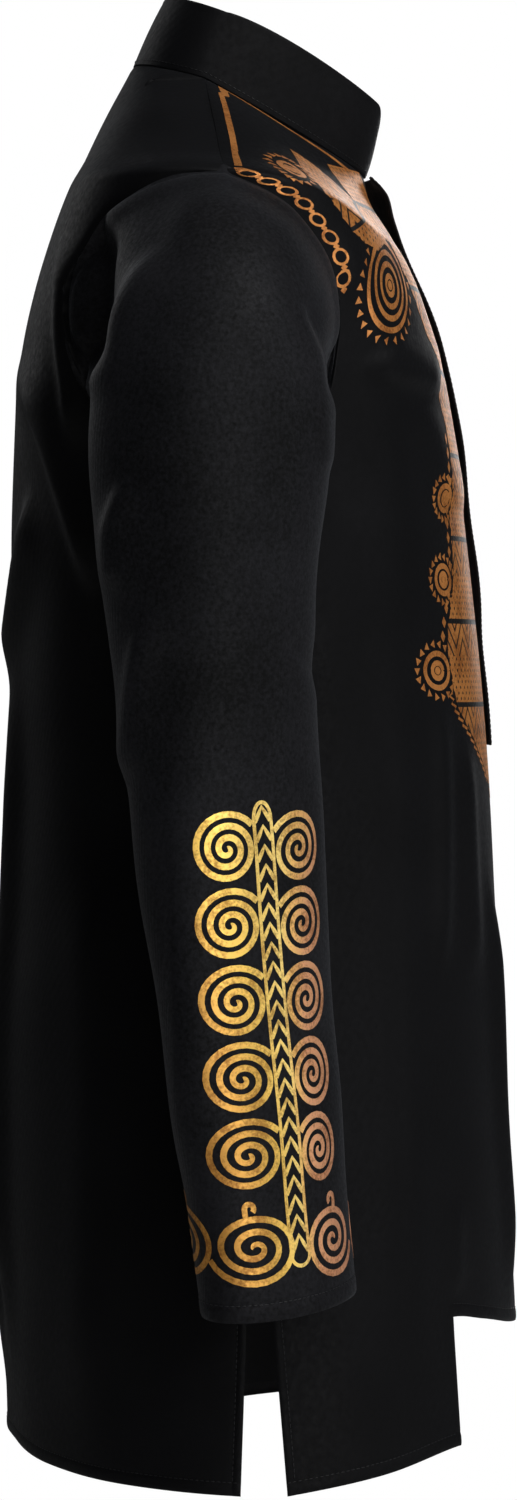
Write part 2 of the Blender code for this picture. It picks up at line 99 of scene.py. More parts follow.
# Centre back and centre front of the body, seen from the side, as (height, back_y, front_y).
PROFILE: Table = (
    (0.0127, 0.0667, -0.0640),
    (-0.0158, 0.0802, -0.0646),
    (-0.0500, 0.0960, -0.0656),
    (-0.0614, 0.1015, -0.0675),
    (-0.0900, 0.1120, -0.0821),
    (-0.1180, 0.1203, -0.0958),
    (-0.1470, 0.1268, -0.1055),
    (-0.1750, 0.1313, -0.1123),
    (-0.2320, 0.1345, -0.1197),
    (-0.2890, 0.1357, -0.1265),
    (-0.3460, 0.1357, -0.1322),
    (-0.4030, 0.1345, -0.1362),
    (-0.4600, 0.1362, -0.1391),
    (-0.5170, 0.1402, -0.1425),
    (-0.5740, 0.1414, -0.1442),
    (-0.6310, 0.1408, -0.1476),
    (-0.6880, 0.1385, -0.1505),
    (-0.7800, 0.1375, -0.1545),
)
# The widest line of the body, from the neck point along the shoulder seam and down the side seam, as
# (level, half_width, side_y, front_roundness, back_roundness).
SIDE: Table = (
    (0.000, 0.0720, 0.0250, 2.00, 2.00),
    (-0.016, 0.1078, 0.0221, 2.10, 2.30),
    (-0.032, 0.1435, 0.0192, 2.20, 2.60),
    (-0.050, 0.1837, 0.0160, 2.30, 2.90),
    (-0.064, 0.2150, 0.0134, 2.35, 3.05),
    (-0.085, 0.2155, 0.0134, 2.35, 3.15),
    (-0.130, 0.2140, 0.0132, 2.35, 3.20),
    (-0.180, 0.2110, 0.0110, 2.35, 2.85),
    (-0.235, 0.2070, 0.0080, 2.30, 2.40),
    (-0.320, 0.1990, 0.0030, 2.25, 2.25),
    (-0.420, 0.1960, 0.0000, 2.20, 2.20),
    (-0.520, 0.2020, -0.0012, 2.20, 2.20),
    (-0.620, 0.2110, -0.0035, 2.20, 2.20),
    (-0.700, 0.2170, -0.0060, 2.12, 2.20),
    (-0.780, 0.2210, -0.0080, 2.12, 2.20),
)
NECK_FRONT_DROP = -0.0500
NECK_BACK_RISE = 0.0127
# The armhole seam, seen from the side as (y, z), from the shoulder tip to the underarm.
FRONT_ARMHOLE: Table = (
    (0.0134, -0.0640), (-0.0126, -0.0754), (-0.0276, -0.0871), (-0.0427, -0.1096), (-0.0480, -0.1386),
    (-0.0460, -0.1600), (-0.0400, -0.1850), (-0.0290, -0.2080), (-0.0120, -0.2270), (0.0080, -0.2350),
)
BACK_ARMHOLE: Table = (
    (0.0134, -0.0640), (0.0400, -0.0655), (0.0627, -0.0748), (0.0816, -0.0894), (0.0942, -0.1118),
    (0.0980, -0.1350), (0.0940, -0.1600), (0.0800, -0.1900), (0.0580, -0.2140), (0.0330, -0.2300),
    (0.0080, -0.2350),
)
# Where each hem lies, as (share of the way from the centre line to the side seam, level).
FRONT_STEP_HEM: Table = (
    (0.00, -0.6995), (0.25, -0.6935), (0.45, -0.6860), (0.57, -0.6820), (1.00, -0.6820),
)
FRONT_HEM: Table = ((0.00, -0.7480), (0.57, -0.7520), (0.80, -0.7620), (1.00, HEM_LEVEL))
BACK_HEM: Table = ((0.00, -0.7575), (0.25, -0.7585), (0.50, -0.7640), (1.00, HEM_LEVEL))
STEP_SHARE = 0.5714
# Rings of the sleeve as (outer_x, outer_z, inner_x, inner_z, centre_y, half_depth, turn).
SLEEVE: Table = (
    (0.2600, -0.0860, 0.2092, -0.2385, 0.0165, 0.0612, 0.00),
    (0.2980, -0.1270, 0.2108, -0.2470, 0.0190, 0.0640, 0.00),
    (0.3170, -0.1850, 0.2112, -0.2630, 0.0212, 0.0630, 0.00),
    (0.3200, -0.2450, 0.2112, -0.2900, 0.0215, 0.0585, 0.02),
    (0.3160, -0.3020, 0.2118, -0.3250, 0.0192, 0.0545, 0.08),
    (0.3120, -0.3660, 0.2140, -0.3760, 0.0147, 0.0514, 0.18),
    (0.3110, -0.4300, 0.2155, -0.4330, 0.0096, 0.0502, 0.30),
    (0.3110, -0.4900, 0.2200, -0.4900, 0.0040, 0.0468, 0.40),
    (0.3115, -0.5500, 0.2245, -0.5480, -0.0027, 0.0450, 0.46),
    (0.3113, -0.6100, 0.2297, -0.6040, -0.0095, 0.0425, 0.50),
    (0.3115, -0.6670, 0.2335, -0.6560, -0.0158, 0.0408, 0.50),
)
CUFF_FRONT_LIFT = 0.004
# How far the fly's free edge stands out from the front, as (height, lift).
FLY_LIFT: Table = (
    (-0.0500, 0.0030), (-0.0560, 0.0075), (-0.0620, 0.0095), (-0.0757, 0.0062), (-0.0900, 0.0032),
    (-0.1180, 0.0014), (-0.1470, 0.0018), (-0.2040, 0.0026), (-0.2890, 0.0022), (-0.3180, 0.0010),
    (-0.3460, 0.0006), (-0.3720, 0.0012),
)


class Side(Enum):
    """The wearer's right or left, by the sign of X."""

    RIGHT = -1
    LEFT = 1


class Curve:
    """A smooth curve through two columns of a table, which never overshoots."""

    def __init__(self, table: Table, value: int) -> None:
        """Fits the curve.

        Args:
            table: Rows whose first column is the place.
            value: Which column the curve gives.
        """
        rows = np.array(table)
        order = np.argsort(rows[:, 0])
        self.places: Array = rows[order, 0]
        self.values: Array = rows[order, value]
        slopes = np.diff(self.values) / np.diff(self.places)
        before, after = slopes[:-1], slopes[1:]
        total = np.where(before + after == 0, 1.0, before + after)
        inner = np.where(before * after > 0, 2 * before * after / total, 0.0)
        self.tangents: Array = np.concatenate([slopes[:1], inner, slopes[-1:]])

    def __call__(self, place: Array) -> Array:
        """The curve's value at each place.

        Args:
            place: The places, held inside the table.

        Returns:
            The values.
        """
        place = np.clip(place, self.places[0], self.places[-1])
        i = np.clip(np.searchsorted(self.places, place, side="right") - 1, 0, len(self.places) - 2)
        width = self.places[i + 1] - self.places[i]
        t = (place - self.places[i]) / width
        return (
            self.values[i] * (1 + 2 * t) * (1 - t) ** 2
            + self.values[i + 1] * t * t * (3 - 2 * t)
            + self.tangents[i] * width * t * (1 - t) ** 2
            - self.tangents[i + 1] * width * t * t * (1 - t)
        )


half_width = Curve(SIDE, 1)
side_y = Curve(SIDE, 2)
fly_lift = Curve(FLY_LIFT, 1)


def smooth_step(value: Array) -> Array:
    """0 to 1 with level ends, held outside them."""
    t = np.clip(value, 0.0, 1.0)
    return t * t * (3 - 2 * t)


def unit(vectors: Array) -> Array:
    """Vectors of length 1 along the last axis."""
    return vectors / np.maximum(np.linalg.norm(vectors, axis=-1, keepdims=True), 1e-12)


def lengths_along(points: Array) -> Array:
    """The length walked to each point of a path, or of each column of a grid."""
    steps = np.linalg.norm(np.diff(points, axis=0), axis=-1)
    return np.concatenate([np.zeros_like(steps[:1]), np.cumsum(steps, axis=0)])


def lengths_across(points: Array) -> Array:
    """The length walked to each point of a grid along its row."""
    return lengths_along(points.swapaxes(0, 1)).T


def soft_bump(distance: Array, width: float | Array) -> Array:
    """A bump of height 1 over a line, by the distance from it."""
    return np.exp(-((distance / width) ** 2))


def cross(first: Array, second: Array) -> Array:
    """The cross product of flat vectors."""
    return first[..., 0] * second[..., 1] - first[..., 1] * second[..., 0]


def at_shares(path: Array, shares: Array) -> Array:
    """The points at these shares of a path's length."""
    walked = lengths_along(path)
    return np.stack([np.interp(shares * walked[-1], walked, path[:, k]) for k in range(3)], axis=-1)


def smooth_path(points: Array, per_span: int) -> Array:
    """A Catmull-Rom curve through points, or through each column of a grid of them.

    Args:
        points: The points, with the path along the first axis.
        per_span: How many samples each span between two points gets.

    Returns:
        The samples along the first axis, the last point included.
    """
    ends = np.concatenate([2 * points[:1] - points[1:2], points, 2 * points[-1:] - points[-2:-1]])
    samples = []
    for k in range(len(points) - 1):
        a, b, c, d = ends[k : k + 4]
        for t in np.arange(per_span) / per_span:
            square = (2 * a - 5 * b + 4 * c - d) * t * t
            cube = (3 * b - a - 3 * c + d) * t**3
            samples.append(0.5 * (2 * b + (c - a) * t + square + cube))
    return np.array([*samples, points[-1]])


@dataclass(frozen=True)
class Half:
    """The front or the back half of the figure that the panels lie on."""

    sign: int
    profile: Curve
    roundness: Curve
    neck_change: float
    level_from: float
    armhole: Table

    def centre_rise(self, level: Array) -> Array:
        """How far a ring's centre point stands above its side."""
        return self.neck_change * (1 - smooth_step(level / self.level_from))

    def depth(self, level: Array) -> Array:
        """How far a ring's centre lies before or behind its side."""
        return self.sign * (self.profile(level + self.centre_rise(level)) - side_y(level))

    def tilt(self, level: Array) -> Array:
        """How the ring's height runs from side to centre: 1 is straight, 2 leaves the side level."""
        return 1 + np.minimum(level / SHOULDER_TIP_LEVEL, 1.0)

    def points(self, level: Array, angle: Array) -> Array:
        """The figure's points.

        Args:
            level: Each point's ring, by the height of the ring's side.
            angle: Each point's angle, 0 at the side and pi/2 at the centre.

        Returns:
            The points, on the wearer's left.
        """
        level, angle = np.broadcast_arrays(np.asarray(level, float), np.asarray(angle, float))
        power = 2 / self.roundness(level)
        share = np.sin(angle) ** power
        x = half_width(level) * np.maximum(np.cos(angle), 0.0) ** power
        y = side_y(level) + self.sign * self.depth(level) * share
        z = level + self.centre_rise(level) * share ** self.tilt(level)
        return np.stack([x, y, z], axis=-1)

    def angles_at(self, level: float, shares: Array, edge_gap: float) -> Array:
        """The angles at shares of the way from the centre line to the panel's side edge.

        Args:
            level: The ring, by the height of its side.
            shares: The shares.
            edge_gap: How far the edge stops before the side.

        Returns:
            The angles.
        """
        angles = np.linspace(math.pi / 2, 0.0, SIDE_RING_ANGLES)
        walked = lengths_along(self.points(level, angles))
        return np.interp(shares * (walked[-1] - edge_gap), walked, angles)

    def angle_off_side(self, level: Array, gap: float) -> Array:
        """The angle of the point this far in front of, or behind, the ring's side."""
        return np.arcsin((gap / self.depth(level)) ** (self.roundness(level) / 2))

    def share_at(self, level: Array, x: Array) -> Array:
        """How far towards its centre's depth a ring has come at x."""
        n = self.roundness(level)
        return (1 - np.minimum(x / half_width(level), 1.0) ** n) ** (1 / n)

    def chart_of_front_view(self, x: Array, z: Array) -> tuple[Array, Array]:
        """The level and angle of the figure's point that shows at x, z from the front.

        Args:
            x: Distances from the middle.
            z: Heights.

        Returns:
            The levels and the angles.
        """
        low, high = np.full_like(x, LOWEST_LEVEL), np.zeros_like(x)
        for _ in range(LEVEL_SEARCH_STEPS):
            level = (low + high) / 2
            rise = self.centre_rise(level) * self.share_at(level, x) ** self.tilt(level)
            inside_shoulder = (x > half_width(level)) & (level > SHOULDER_TIP_LEVEL)
            above = inside_shoulder | (level + rise > z)
            high = np.where(above, level, high)
            low = np.where(above, low, level)
        share = self.share_at(level, x)
        return level, np.arcsin(np.minimum(share ** (self.roundness(level) / 2), 1.0))

    def chart_of_side_view(self, y: Array, z: Array) -> tuple[Array, Array]:
        """The level and angle of the figure's point that shows at y, z from the side.

        Args:
            y: Distances back.
            z: Heights.

        Returns:
            The levels and the angles.
        """
        level = z
        for _ in range(LEVEL_SEARCH_STEPS):
            share = np.clip(self.sign * (y - side_y(level)) / self.depth(level), 0.0, 1.0)
            level = z - self.centre_rise(level) * share ** self.tilt(level)
        return level, np.arcsin(share ** (self.roundness(level) / 2))

    def armhole_path(self) -> Array:
        """The armhole seam on the figure, from the shoulder tip to the underarm."""
        places = smooth_path(np.array(self.armhole), ARMHOLE_SAMPLES)
        return self.points(*self.chart_of_side_view(places[:, 0], places[:, 1]))


FRONT = Half(-1, Curve(PROFILE, 2), Curve(SIDE, 3), NECK_FRONT_DROP, UNDERARM_LEVEL, FRONT_ARMHOLE)
BACK = Half(1, Curve(PROFILE, 1), Curve(SIDE, 4), NECK_BACK_RISE, SHOULDER_TIP_LEVEL, BACK_ARMHOLE)


class View(Enum):
    """The side that a fold's path is drawn from, as the two axes it shows."""

    SIDE = (1, 2)
    FRONT = (0, 2)


@dataclass(frozen=True)
class Fold:
    """A soft ridge, or a trough where the height is less than 0, laid along a path on the cloth.

    The path is in metres in the two axes that its view shows. The width is the flank on the left of
    the path's run, and the far width the one on its right.
    """

    path: Table
    width: float
    height: float
    far_width: float = 0.0
    view: View = View.SIDE
    sides: tuple[Side, ...] = (Side.RIGHT, Side.LEFT)

    def pair(self, along: float, up: float, share: float) -> tuple["Fold", "Fold"]:
        """This fold on the right only, and one much like it on the left.

        Args:
            along: How far the left one moves along the view's first axis.
            up: How far it moves up.
            share: Its height as a share of this one's.

        Returns:
            Both folds.
        """
        path = tuple((a + along, z + up) for a, z in self.path)
        left = replace(self, path=path, sides=(Side.LEFT,), height=self.height * share)
        return replace(self, sides=(Side.RIGHT,)), left

    def lift(self, points: Array) -> Array:
        """How far the fold moves each point along its normal.

        Args:
            points: The cloth, by row and column.

        Returns:
            The lift of each point.
        """
        i, j = self.view.value
        flat = np.stack([points[..., i], points[..., j]], axis=-1)
        path = smooth_path(np.array(self.path), FOLD_SAMPLES)
        walked = lengths_along(path)
        best = np.full(flat.shape[:-1], 1e9)
        on_left = np.ones_like(best, bool)
        along = np.zeros_like(best)
        for a, b, start in zip(path, path[1:], walked):
            run = b - a
            length = float(np.linalg.norm(run))
            t = np.clip(((flat - a) @ run) / length**2, 0.0, 1.0)
            away = flat - (a + t[..., None] * run)
            distance = np.linalg.norm(away, axis=-1)
            nearer = distance < best
            best = np.where(nearer, distance, best)
            on_left = np.where(nearer, cross(run, away) >= 0, on_left)
            along = np.where(nearer, (start + t * length) / walked[-1], along)
        width = np.where(on_left, self.width, self.far_width or self.width)
        taper = smooth_step(along / FOLD_TAPER) * smooth_step((1 - along) / FOLD_TAPER)
        wanted = sum(points[..., 0] * side.value > 0.0 for side in self.sides)
        return self.height * soft_bump(best, width) * taper * wanted


@dataclass(frozen=True)
class Drape:
    """What the cloth of one piece does on its figure: its placed folds, and a slight unevenness."""

    folds: tuple[Fold, ...]
    seed: int
    ripple: float = 0.0004
    ripple_length: float = 0.075
    ripple_run: Triple = (1.0, 1.0, 0.45)
    ripples: int = 6

    def lift(self, points: Array) -> Array:
        """How far the drape moves each point along its normal.

        Args:
            points: The cloth, by row and column.

        Returns:
            The lift of each point.
        """
        total = sum(fold.lift(points) for fold in self.folds)
        random = np.random.default_rng(self.seed)
        for _ in range(self.ripples):
            run = unit(random.normal(size=3) * self.ripple_run)
            length = self.ripple_length * random.uniform(0.6, 1.7)
            phase = random.uniform(0, 2 * math.pi)
            total = total + self.ripple * np.sin(points @ run * 2 * math.pi / length + phase) / 2
        return total


@dataclass
class Surface:
    """A grid of points on the outside of a piece of cloth, with their outward normals."""

    points: Array
    normals: Array = field(init=False)
    around: bool = False

    def __post_init__(self) -> None:
        """Works the normals out."""
        self.renew_normals()

    def renew_normals(self) -> None:
        """Sets each point's normal square to its row and its column."""
        down = np.gradient(self.points, axis=0)
        if self.around:
            wrapped = np.concatenate([self.points[:, -2:-1], self.points, self.points[:, 1:2]], axis=1)
            across = (wrapped[:, 2:] - wrapped[:, :-2]) / 2
        else:
            across = np.gradient(self.points, axis=1)
        self.normals = unit(np.cross(down, across))

    def part(self, rows: Array | slice, columns: Array | slice = slice(None)) -> "Surface":
        """Some of the grid, with the normals that it has here.

        Args:
            rows: Which rows.
            columns: Which columns.

        Returns:
            The part as a surface.
        """
        piece = Surface(self.points[rows][:, columns])
        piece.normals = self.normals[rows][:, columns]
        return piece

    def moved(self, lift: Array) -> None:
        """Moves every point along its normal."""
        self.points = self.points + self.normals * lift[..., None]
        self.renew_normals()

    def faced_away_from(self, inside: Array) -> "Surface":
        """This surface, turned over if it faces towards the inside points.

        Args:
            inside: Points inside the shirt, one or one for each row.

        Returns:
            This surface.
        """
        if ((self.points - inside) * self.normals).sum() < 0:
            self.points = self.points[:, ::-1].copy()
            self.renew_normals()
        return self

    def at(self, row: Array, column: Array, offset: float = 0.0) -> Array:
        """Points between the grid's own, some way off the cloth.

        Args:
            row: Places down the grid, in rows.
            column: Places across the grid, in columns.
            offset: How far off the cloth the points stand.

        Returns:
            The points.
        """
        rows, columns = self.points.shape[:2]
        row, column = np.clip(row, 0, rows - 1 - TINY), np.clip(column, 0, columns - 1 - TINY)
        j, i = row.astype(int), column.astype(int)
        v, u = (row - j)[..., None], (column - i)[..., None]
        place, normal = (
            (grid[j, i] * (1 - u) + grid[j, i + 1] * u) * (1 - v)
            + (grid[j + 1, i] * (1 - u) + grid[j + 1, i + 1] * u) * v
            for grid in (self.points, self.normals)
        )
        return place + unit(normal) * offset


def link(name: str, mesh_maker: bmesh.types.BMesh) -> Piece:
    """Makes an object of a bmesh, which is freed.

    Args:
        name: The piece's name.
        mesh_maker: What the piece is made of.

    Returns:
        The object, at the origin.
    """
    mesh = bpy.data.meshes.new(name)
    mesh_maker.to_mesh(mesh)
    mesh_maker.free()
    mesh.shade_smooth()
    piece = bpy.data.objects.new(name, mesh)
    bpy.context.scene.collection.objects.link(piece)
    return piece


def lay_grid(
    bm: bmesh.types.BMesh,
    points: Array,
    uv: Array,
    left_out: Callable[[int, int], bool] | None = None,
) -> None:
    """Adds a grid to a bmesh, laid on a grid of points.

    Args:
        bm: The bmesh that gets it.
        points: Where its corners go, by row and column.
        uv: The same corners' places on the flat cloth, in metres.
        left_out: Says of a row and a column whether its face is cut away.
    """
    rows, columns = points.shape[0] - 1, points.shape[1] - 1
    layer = bm.loops.layers.uv.verify()
    made = bmesh.ops.create_grid(bm, x_segments=columns, y_segments=rows, size=0.5)["verts"]
    place = {v: (round((0.5 - v.co.y) * rows), round((v.co.x + 0.5) * columns)) for v in made}
    doomed = []
    for face in {f for v in made for f in v.link_faces}:
        corners = [place[v] for v in face.verts]
        if left_out and left_out(min(c[0] for c in corners), min(c[1] for c in corners)):
            doomed.append(face)
            continue
        for loop, corner in zip(face.loops, corners):
            loop[layer].uv = uv[corner]
    bmesh.ops.delete(bm, geom=doomed, context="FACES")
    for vert, corner in place.items():
        if vert.is_valid:
            vert.co = points[corner]


def cloth_uv(surface: Surface) -> Array:
    """Each grid point's place on the flat cloth, in metres: along its row and down its column.

    Args:
        surface: The cloth.

    Returns:
        The flat places, by row and column.
    """
    across = lengths_across(surface.points)
    middle = across[:, across.shape[1] // 2, None]
    return np.stack([across - middle, -lengths_along(surface.points)], axis=-1)


def thicken(piece: Piece, thickness: float) -> None:
    """Gives a sheet that faces out its wall, inwards, and rounds the cut edges.

    Args:
        piece: The sheet.
        thickness: Its wall.
    """
    wall = piece.modifiers.new("wall", "SOLIDIFY")
    wall.thickness = thickness
    wall.offset = -1.0
    edge = piece.modifiers.new("edge", "BEVEL")
    edge.width = thickness * EDGE_ROUNDING
    edge.segments = 2
    edge.limit_method = "ANGLE"
    edge.angle_limit = math.radians(60)


def make_cloth(
    name: str,
    surface: Surface,
    thickness: float,
    left_out: Callable[[int, int], bool] | None = None,
) -> Piece:
    """A cut piece of cloth as a thin closed shell.

    Args:
        name: The piece's name.
        surface: Its outside.
        thickness: Its wall.
        left_out: Says which faces the cut takes away.

    Returns:
        The piece.
    """
    bm = bmesh.new()
    lay_grid(bm, surface.points, cloth_uv(surface), left_out)
    if surface.around:
        bmesh.ops.remove_doubles(bm, verts=bm.verts, dist=TINY)
    bm.normal_update()
    face = bm.faces[:][len(bm.faces) // 2]
    near = np.argmin(np.linalg.norm(surface.points - np.array(face.calc_center_median()), axis=-1))
    if face.normal.dot(Vector(surface.normals.reshape(-1, 3)[near])) < 0:
        bmesh.ops.reverse_faces(bm, faces=bm.faces[:])
    piece = link(name, bm)
    thicken(piece, thickness)
    return piece


def edge_shares(length: float, count: int, near_start: Sequence[float], near_end: Sequence[float]) -> Array:
    """Shares from 0 to 1, close together at the ends where there is a turned edge.

    Args:
        length: The whole length in metres.
        count: How many even spans fill the rest.
        near_start: Distances in millimetres of the close lines at the start.
        near_end: The same at the end.

    Returns:
        The shares, in order.
    """
    first = np.array(near_start) / 1000 / length
    last = 1 - np.array(near_end)[::-1] / 1000 / length
    middle = np.linspace(first[-1] if len(first) else 0.0, last[0] if len(last) else 1.0, count + 1)
    return np.unique(np.round(np.concatenate([first, middle, last]), 7))


# Where the close lines of the grids lie beside a turned edge, in millimetres from it.
TURNED_EDGE = (0.0, 0.4, 1.0, 2.2, 3.8, 5.4, 6.4, 7.0, 7.6, 8.2, 9.2, 11.0, 14.0)
CUFF_EDGE = (0.0, 0.4, 1.0, 2.4, 4.4, 6.6, 8.2, 8.9, 9.6, 10.4, 11.6, 14.0)
SLIT_EDGE = (0.0, 0.5, 1.2, 2.4, 3.8, 4.6, 5.2, 5.8, 6.6, 8.0, 10.0)
FLY_SEWN_EDGE = (0.0, 0.6, 1.4, 2.4)
FLY_FREE_EDGE = (0.0, 0.5, 1.2, 1.8, 2.4, 3.0, 3.8)
FLY_TOP_EDGE = (0.0, 0.5, 1.4, 2.6)
BELOW_STEP = (0.0, 2.0, 5.0)
BELOW_ARMHOLE = (1.0, 2.2, 3.6, 5.4, 8.0)
# The same beside the corner of the hem's step, as shares of the way from the centre to the side.
STEP_LINES = (-0.004, -0.001, 0.0, 0.012, 0.02, 0.024, 0.028, 0.04)


@dataclass(frozen=True)
class Dip:
    """How far the cloth sinks along a seam, and how far from it that reaches."""

    depth: float
    reach: float

    def at(self, distance: Array) -> Array:
        """How far the cloth sinks at a distance from the seam."""
        return self.depth * soft_bump(distance, self.reach)


SIDE_DIP = Dip(0.0007, 0.0022)
ARMHOLE_DIP = Dip(0.0010, 0.0035)
NECK_DIP = Dip(0.0005, 0.0022)
SLEEVE_DIP = Dip(0.0008, 0.0020)
STITCH_DIP = Dip(0.00045, 0.0011)
ROLLED_EDGE = Dip(0.0004, 0.0009)
DOUBLED_LIFT = 0.00035
DOUBLED_FADE = 0.0024


@dataclass
class Panel:
    """The front or the back: a sheet from the neckline and the shoulders to the hem."""

    name: str
    half: Half
    hems: tuple[Table, ...]
    drape: Drape
    split: bool
    columns: int = 104
    upper_rows: int = 84
    side_rows: int = 66
    slit_rows: int = 22
    tail_rows: int = 12
    half_span: float = 0.33
    least_share: float = 0.006
    row_spread: float = 1.15
    surface: Surface = field(init=False)
    step_row: int = field(init=False, default=0)
    shares: Array = field(init=False)

    def __post_init__(self) -> None:
        """Lays the panel's points out and drapes them."""
        fixed = (0.0, 0.5, 1.0)
        near = list(1 - np.array(SLIT_EDGE) / 1000 / self.half_span)
        if len(self.hems) > 1:
            near += [STEP_SHARE + offset for offset in STEP_LINES]
        even = np.linspace(0, 1, self.columns + 1)
        kept = [s for s in even if np.abs(np.array(near) - s).min() > self.least_share or s in fixed]
        self.shares = np.unique(np.round([*kept, *near, *fixed], 6))
        right, left = (self.half.points(*self.charts(side)) for side in Side)
        right = right[:, ::-1] * np.array([-1.0, 1.0, 1.0])
        if self.split:
            right[:, -1, 0], left[:, 0, 0] = -NECK_SLIT_WIDTH / 2, NECK_SLIT_WIDTH / 2
        else:
            left = left[:, 1:]
        inside = np.array([0.0, 0.0, -0.35])
        self.surface = Surface(np.concatenate([right, left], axis=1)).faced_away_from(inside)
        self.sway()
        self.surface.moved(self.drape.lift(self.surface.points) + self.seam_lift())

    def sway(self) -> None:
        """Lets the slit on the left hang a little to the back."""
        points = self.surface.points
        opened = np.clip((SIDE_SLIT_TOP - points[..., 2]) / SLIT_LENGTH / SWAY_SHARE, 0.0, 1.0)
        near = smooth_step(1 - self.distance_in() / SWAY_REACH) * (points[..., 0] * Side.LEFT.value > 0)
        points[..., 1] += LEFT_SLIT_SWAY * smooth_step(opened) * near
        self.surface.renew_normals()

    def charts(self, side: Side) -> tuple[Array, Array]:
        """The levels and angles of one half's points, by row and column from the centre out.

        Args:
            side: Which of the wearer's sides.

        Returns:
            The levels and the angles.
        """
        half, s = self.half, self.shares
        neck, shoulder = s[s < 0.5] / 0.5, (s[s >= 0.5] - 0.5) / 0.5
        neck_angles = half.angles_at(0.0, neck, SEAM_GAP / 2)
        seam_levels = SHOULDER_TIP_LEVEL * shoulder
        top_levels = np.concatenate([np.zeros_like(neck), seam_levels])
        off_side = half.angle_off_side(seam_levels, SEAM_GAP / 2)
        top_angles = np.concatenate([neck_angles, off_side])
        top = half.points(top_levels, top_angles)[:, [0, 2]]
        under_angles = half.angles_at(UNDERARM_LEVEL, s, SEAM_GAP / 2)
        bottom = half.points(UNDERARM_LEVEL, under_angles)[:, [0, 2]]
        down = np.linspace(0, 1, self.upper_rows + 1) ** self.row_spread
        outside = at_shares(half.armhole_path(), down)[:, [0, 2]]
        v, u = down[:, None, None], s[None, :, None]
        centre = top[0] + (bottom[0] - top[0]) * v
        top_line, bottom_line = (ends[0] * (1 - u) + ends[-1] * u for ends in (top, bottom))
        corners = top_line * (1 - v) + bottom_line * v
        place = centre * (1 - u) + outside[:, None] * u + top * (1 - v) + bottom * v - corners
        levels, angles = half.chart_of_front_view(np.maximum(place[..., 0], 0.0), place[..., 1])
        levels[0], angles[0] = top_levels, top_angles
        levels[-1], angles[-1] = UNDERARM_LEVEL, under_angles
        shapes = [np.full_like(s, SIDE_SLIT_TOP)] + [Curve(hem, 1)(s) for hem in self.hems]
        spans = [np.linspace(0, 1, self.side_rows + 1)]
        for k, (a, b) in enumerate(zip(shapes, shapes[1:])):
            length = float((a - b).mean())
            start, count = (BELOW_STEP, self.tail_rows) if k else ((), self.slit_rows)
            spans.append(edge_shares(length, count, start, TURNED_EDGE))
        above = np.full_like(s, UNDERARM_LEVEL)
        for k, (shape, span) in enumerate(zip(shapes, spans)):
            rows = above + (shape - above) * span[1:, None]
            turns = [half.angles_at(float(r.mean()), s, self.side_gap(side, float(r[-1]))) for r in rows]
            levels, angles = np.concatenate([levels, rows]), np.concatenate([angles, turns])
            above = shape
            if k == 1:
                self.step_row = len(levels) - 1
        return levels, angles

    def side_gap(self, side: Side, level: float) -> float:
        """How far the side edge lies from the seam line: half a seam gap, or half the open slit.

        Args:
            side: Which of the wearer's sides.
            level: The height along the seam.

        Returns:
            The gap.
        """
        open_gap = RIGHT_SLIT_HALF_GAP if side is Side.RIGHT else LEFT_SLIT_HALF_GAP
        opened = float(np.clip((SIDE_SLIT_TOP - level) / SLIT_LENGTH, 0.0, 1.0))
        return max(SEAM_GAP / 2, open_gap * opened)

    def distance_down(self, row: int) -> Array:
        """Each point's distance above, or below, a row along its column."""
        walked = lengths_along(self.surface.points)
        return walked[row] - walked

    def distance_in(self) -> Array:
        """Each point's distance from the nearer side edge along its row."""
        walked = lengths_across(self.surface.points)
        return np.minimum(walked, walked[:, -1:] - walked)

    def in_step(self) -> Array:
        """True for the columns over the step in the hem."""
        across = np.concatenate([self.shares[::-1], self.shares if self.split else self.shares[1:]])
        return across <= STEP_SHARE + TINY

    def seam_lift(self) -> Array:
        """What the turned hems, the slit edges and the seams do to the cloth.

        Returns:
            The lift of each point.
        """
        hem = self.distance_down(-1)
        if len(self.hems) > 1:
            step = self.distance_down(self.step_row)
            hem = np.where(self.in_step()[None] & (step >= -TINY), np.abs(step), hem)
        inward = self.distance_in()
        height = self.surface.points[:, [0, -1], 2].mean(axis=1)[:, None]
        slit = smooth_step((SIDE_SLIT_TOP + 0.012 - height) / 0.02)
        armhole = (np.arange(len(height)) < self.upper_rows)[:, None]
        lift = turned_edge(hem, HEM_DEPTH) + turned_edge(inward, SLIT_HEM_DEPTH) * slit
        lift -= SIDE_DIP.at(inward) * ~armhole * (1 - slit) + ARMHOLE_DIP.at(inward) * armhole
        return lift - NECK_DIP.at(lengths_along(self.surface.points))

    def under_armhole(self, side: Side, distance: float, count: int) -> Array:
        """A line under the cloth beside an armhole, from the shoulder tip to the underarm.

        Args:
            side: Whose armhole.
            distance: How far in from the seam the line runs.
            count: How many even spans it has.

        Returns:
            The line's points.
        """
        near_end = self.surface.points[0, 0, 0] * side.value > 0
        upper = self.surface.part(slice(self.upper_rows + 1), slice(None, None, 1 if near_end else -1))
        numbers = np.arange(upper.points.shape[1])
        places = np.array([np.interp(distance, line, numbers) for line in lengths_across(upper.points)])
        line = upper.at(np.arange(len(places), dtype=float), places)
        return at_shares(line - upper.normals[:, 1] * (CLOTH + UNDER_GAP), np.linspace(0, 1, count + 1))

    def left_out(self, row: int, column: int) -> bool:
        """Whether a face lies in the neck slit or in the step of the hem.

        Args:
            row: The face's row.
            column: The face's column.

        Returns:
            True if the cut takes the face away.
        """
        middle = len(self.shares) - 1
        if column == middle and self.surface.points[row + 1, middle, 2] > NECK_SLIT_BOTTOM:
            return True
        return row >= self.step_row and bool(self.in_step()[column : column + 2].all())

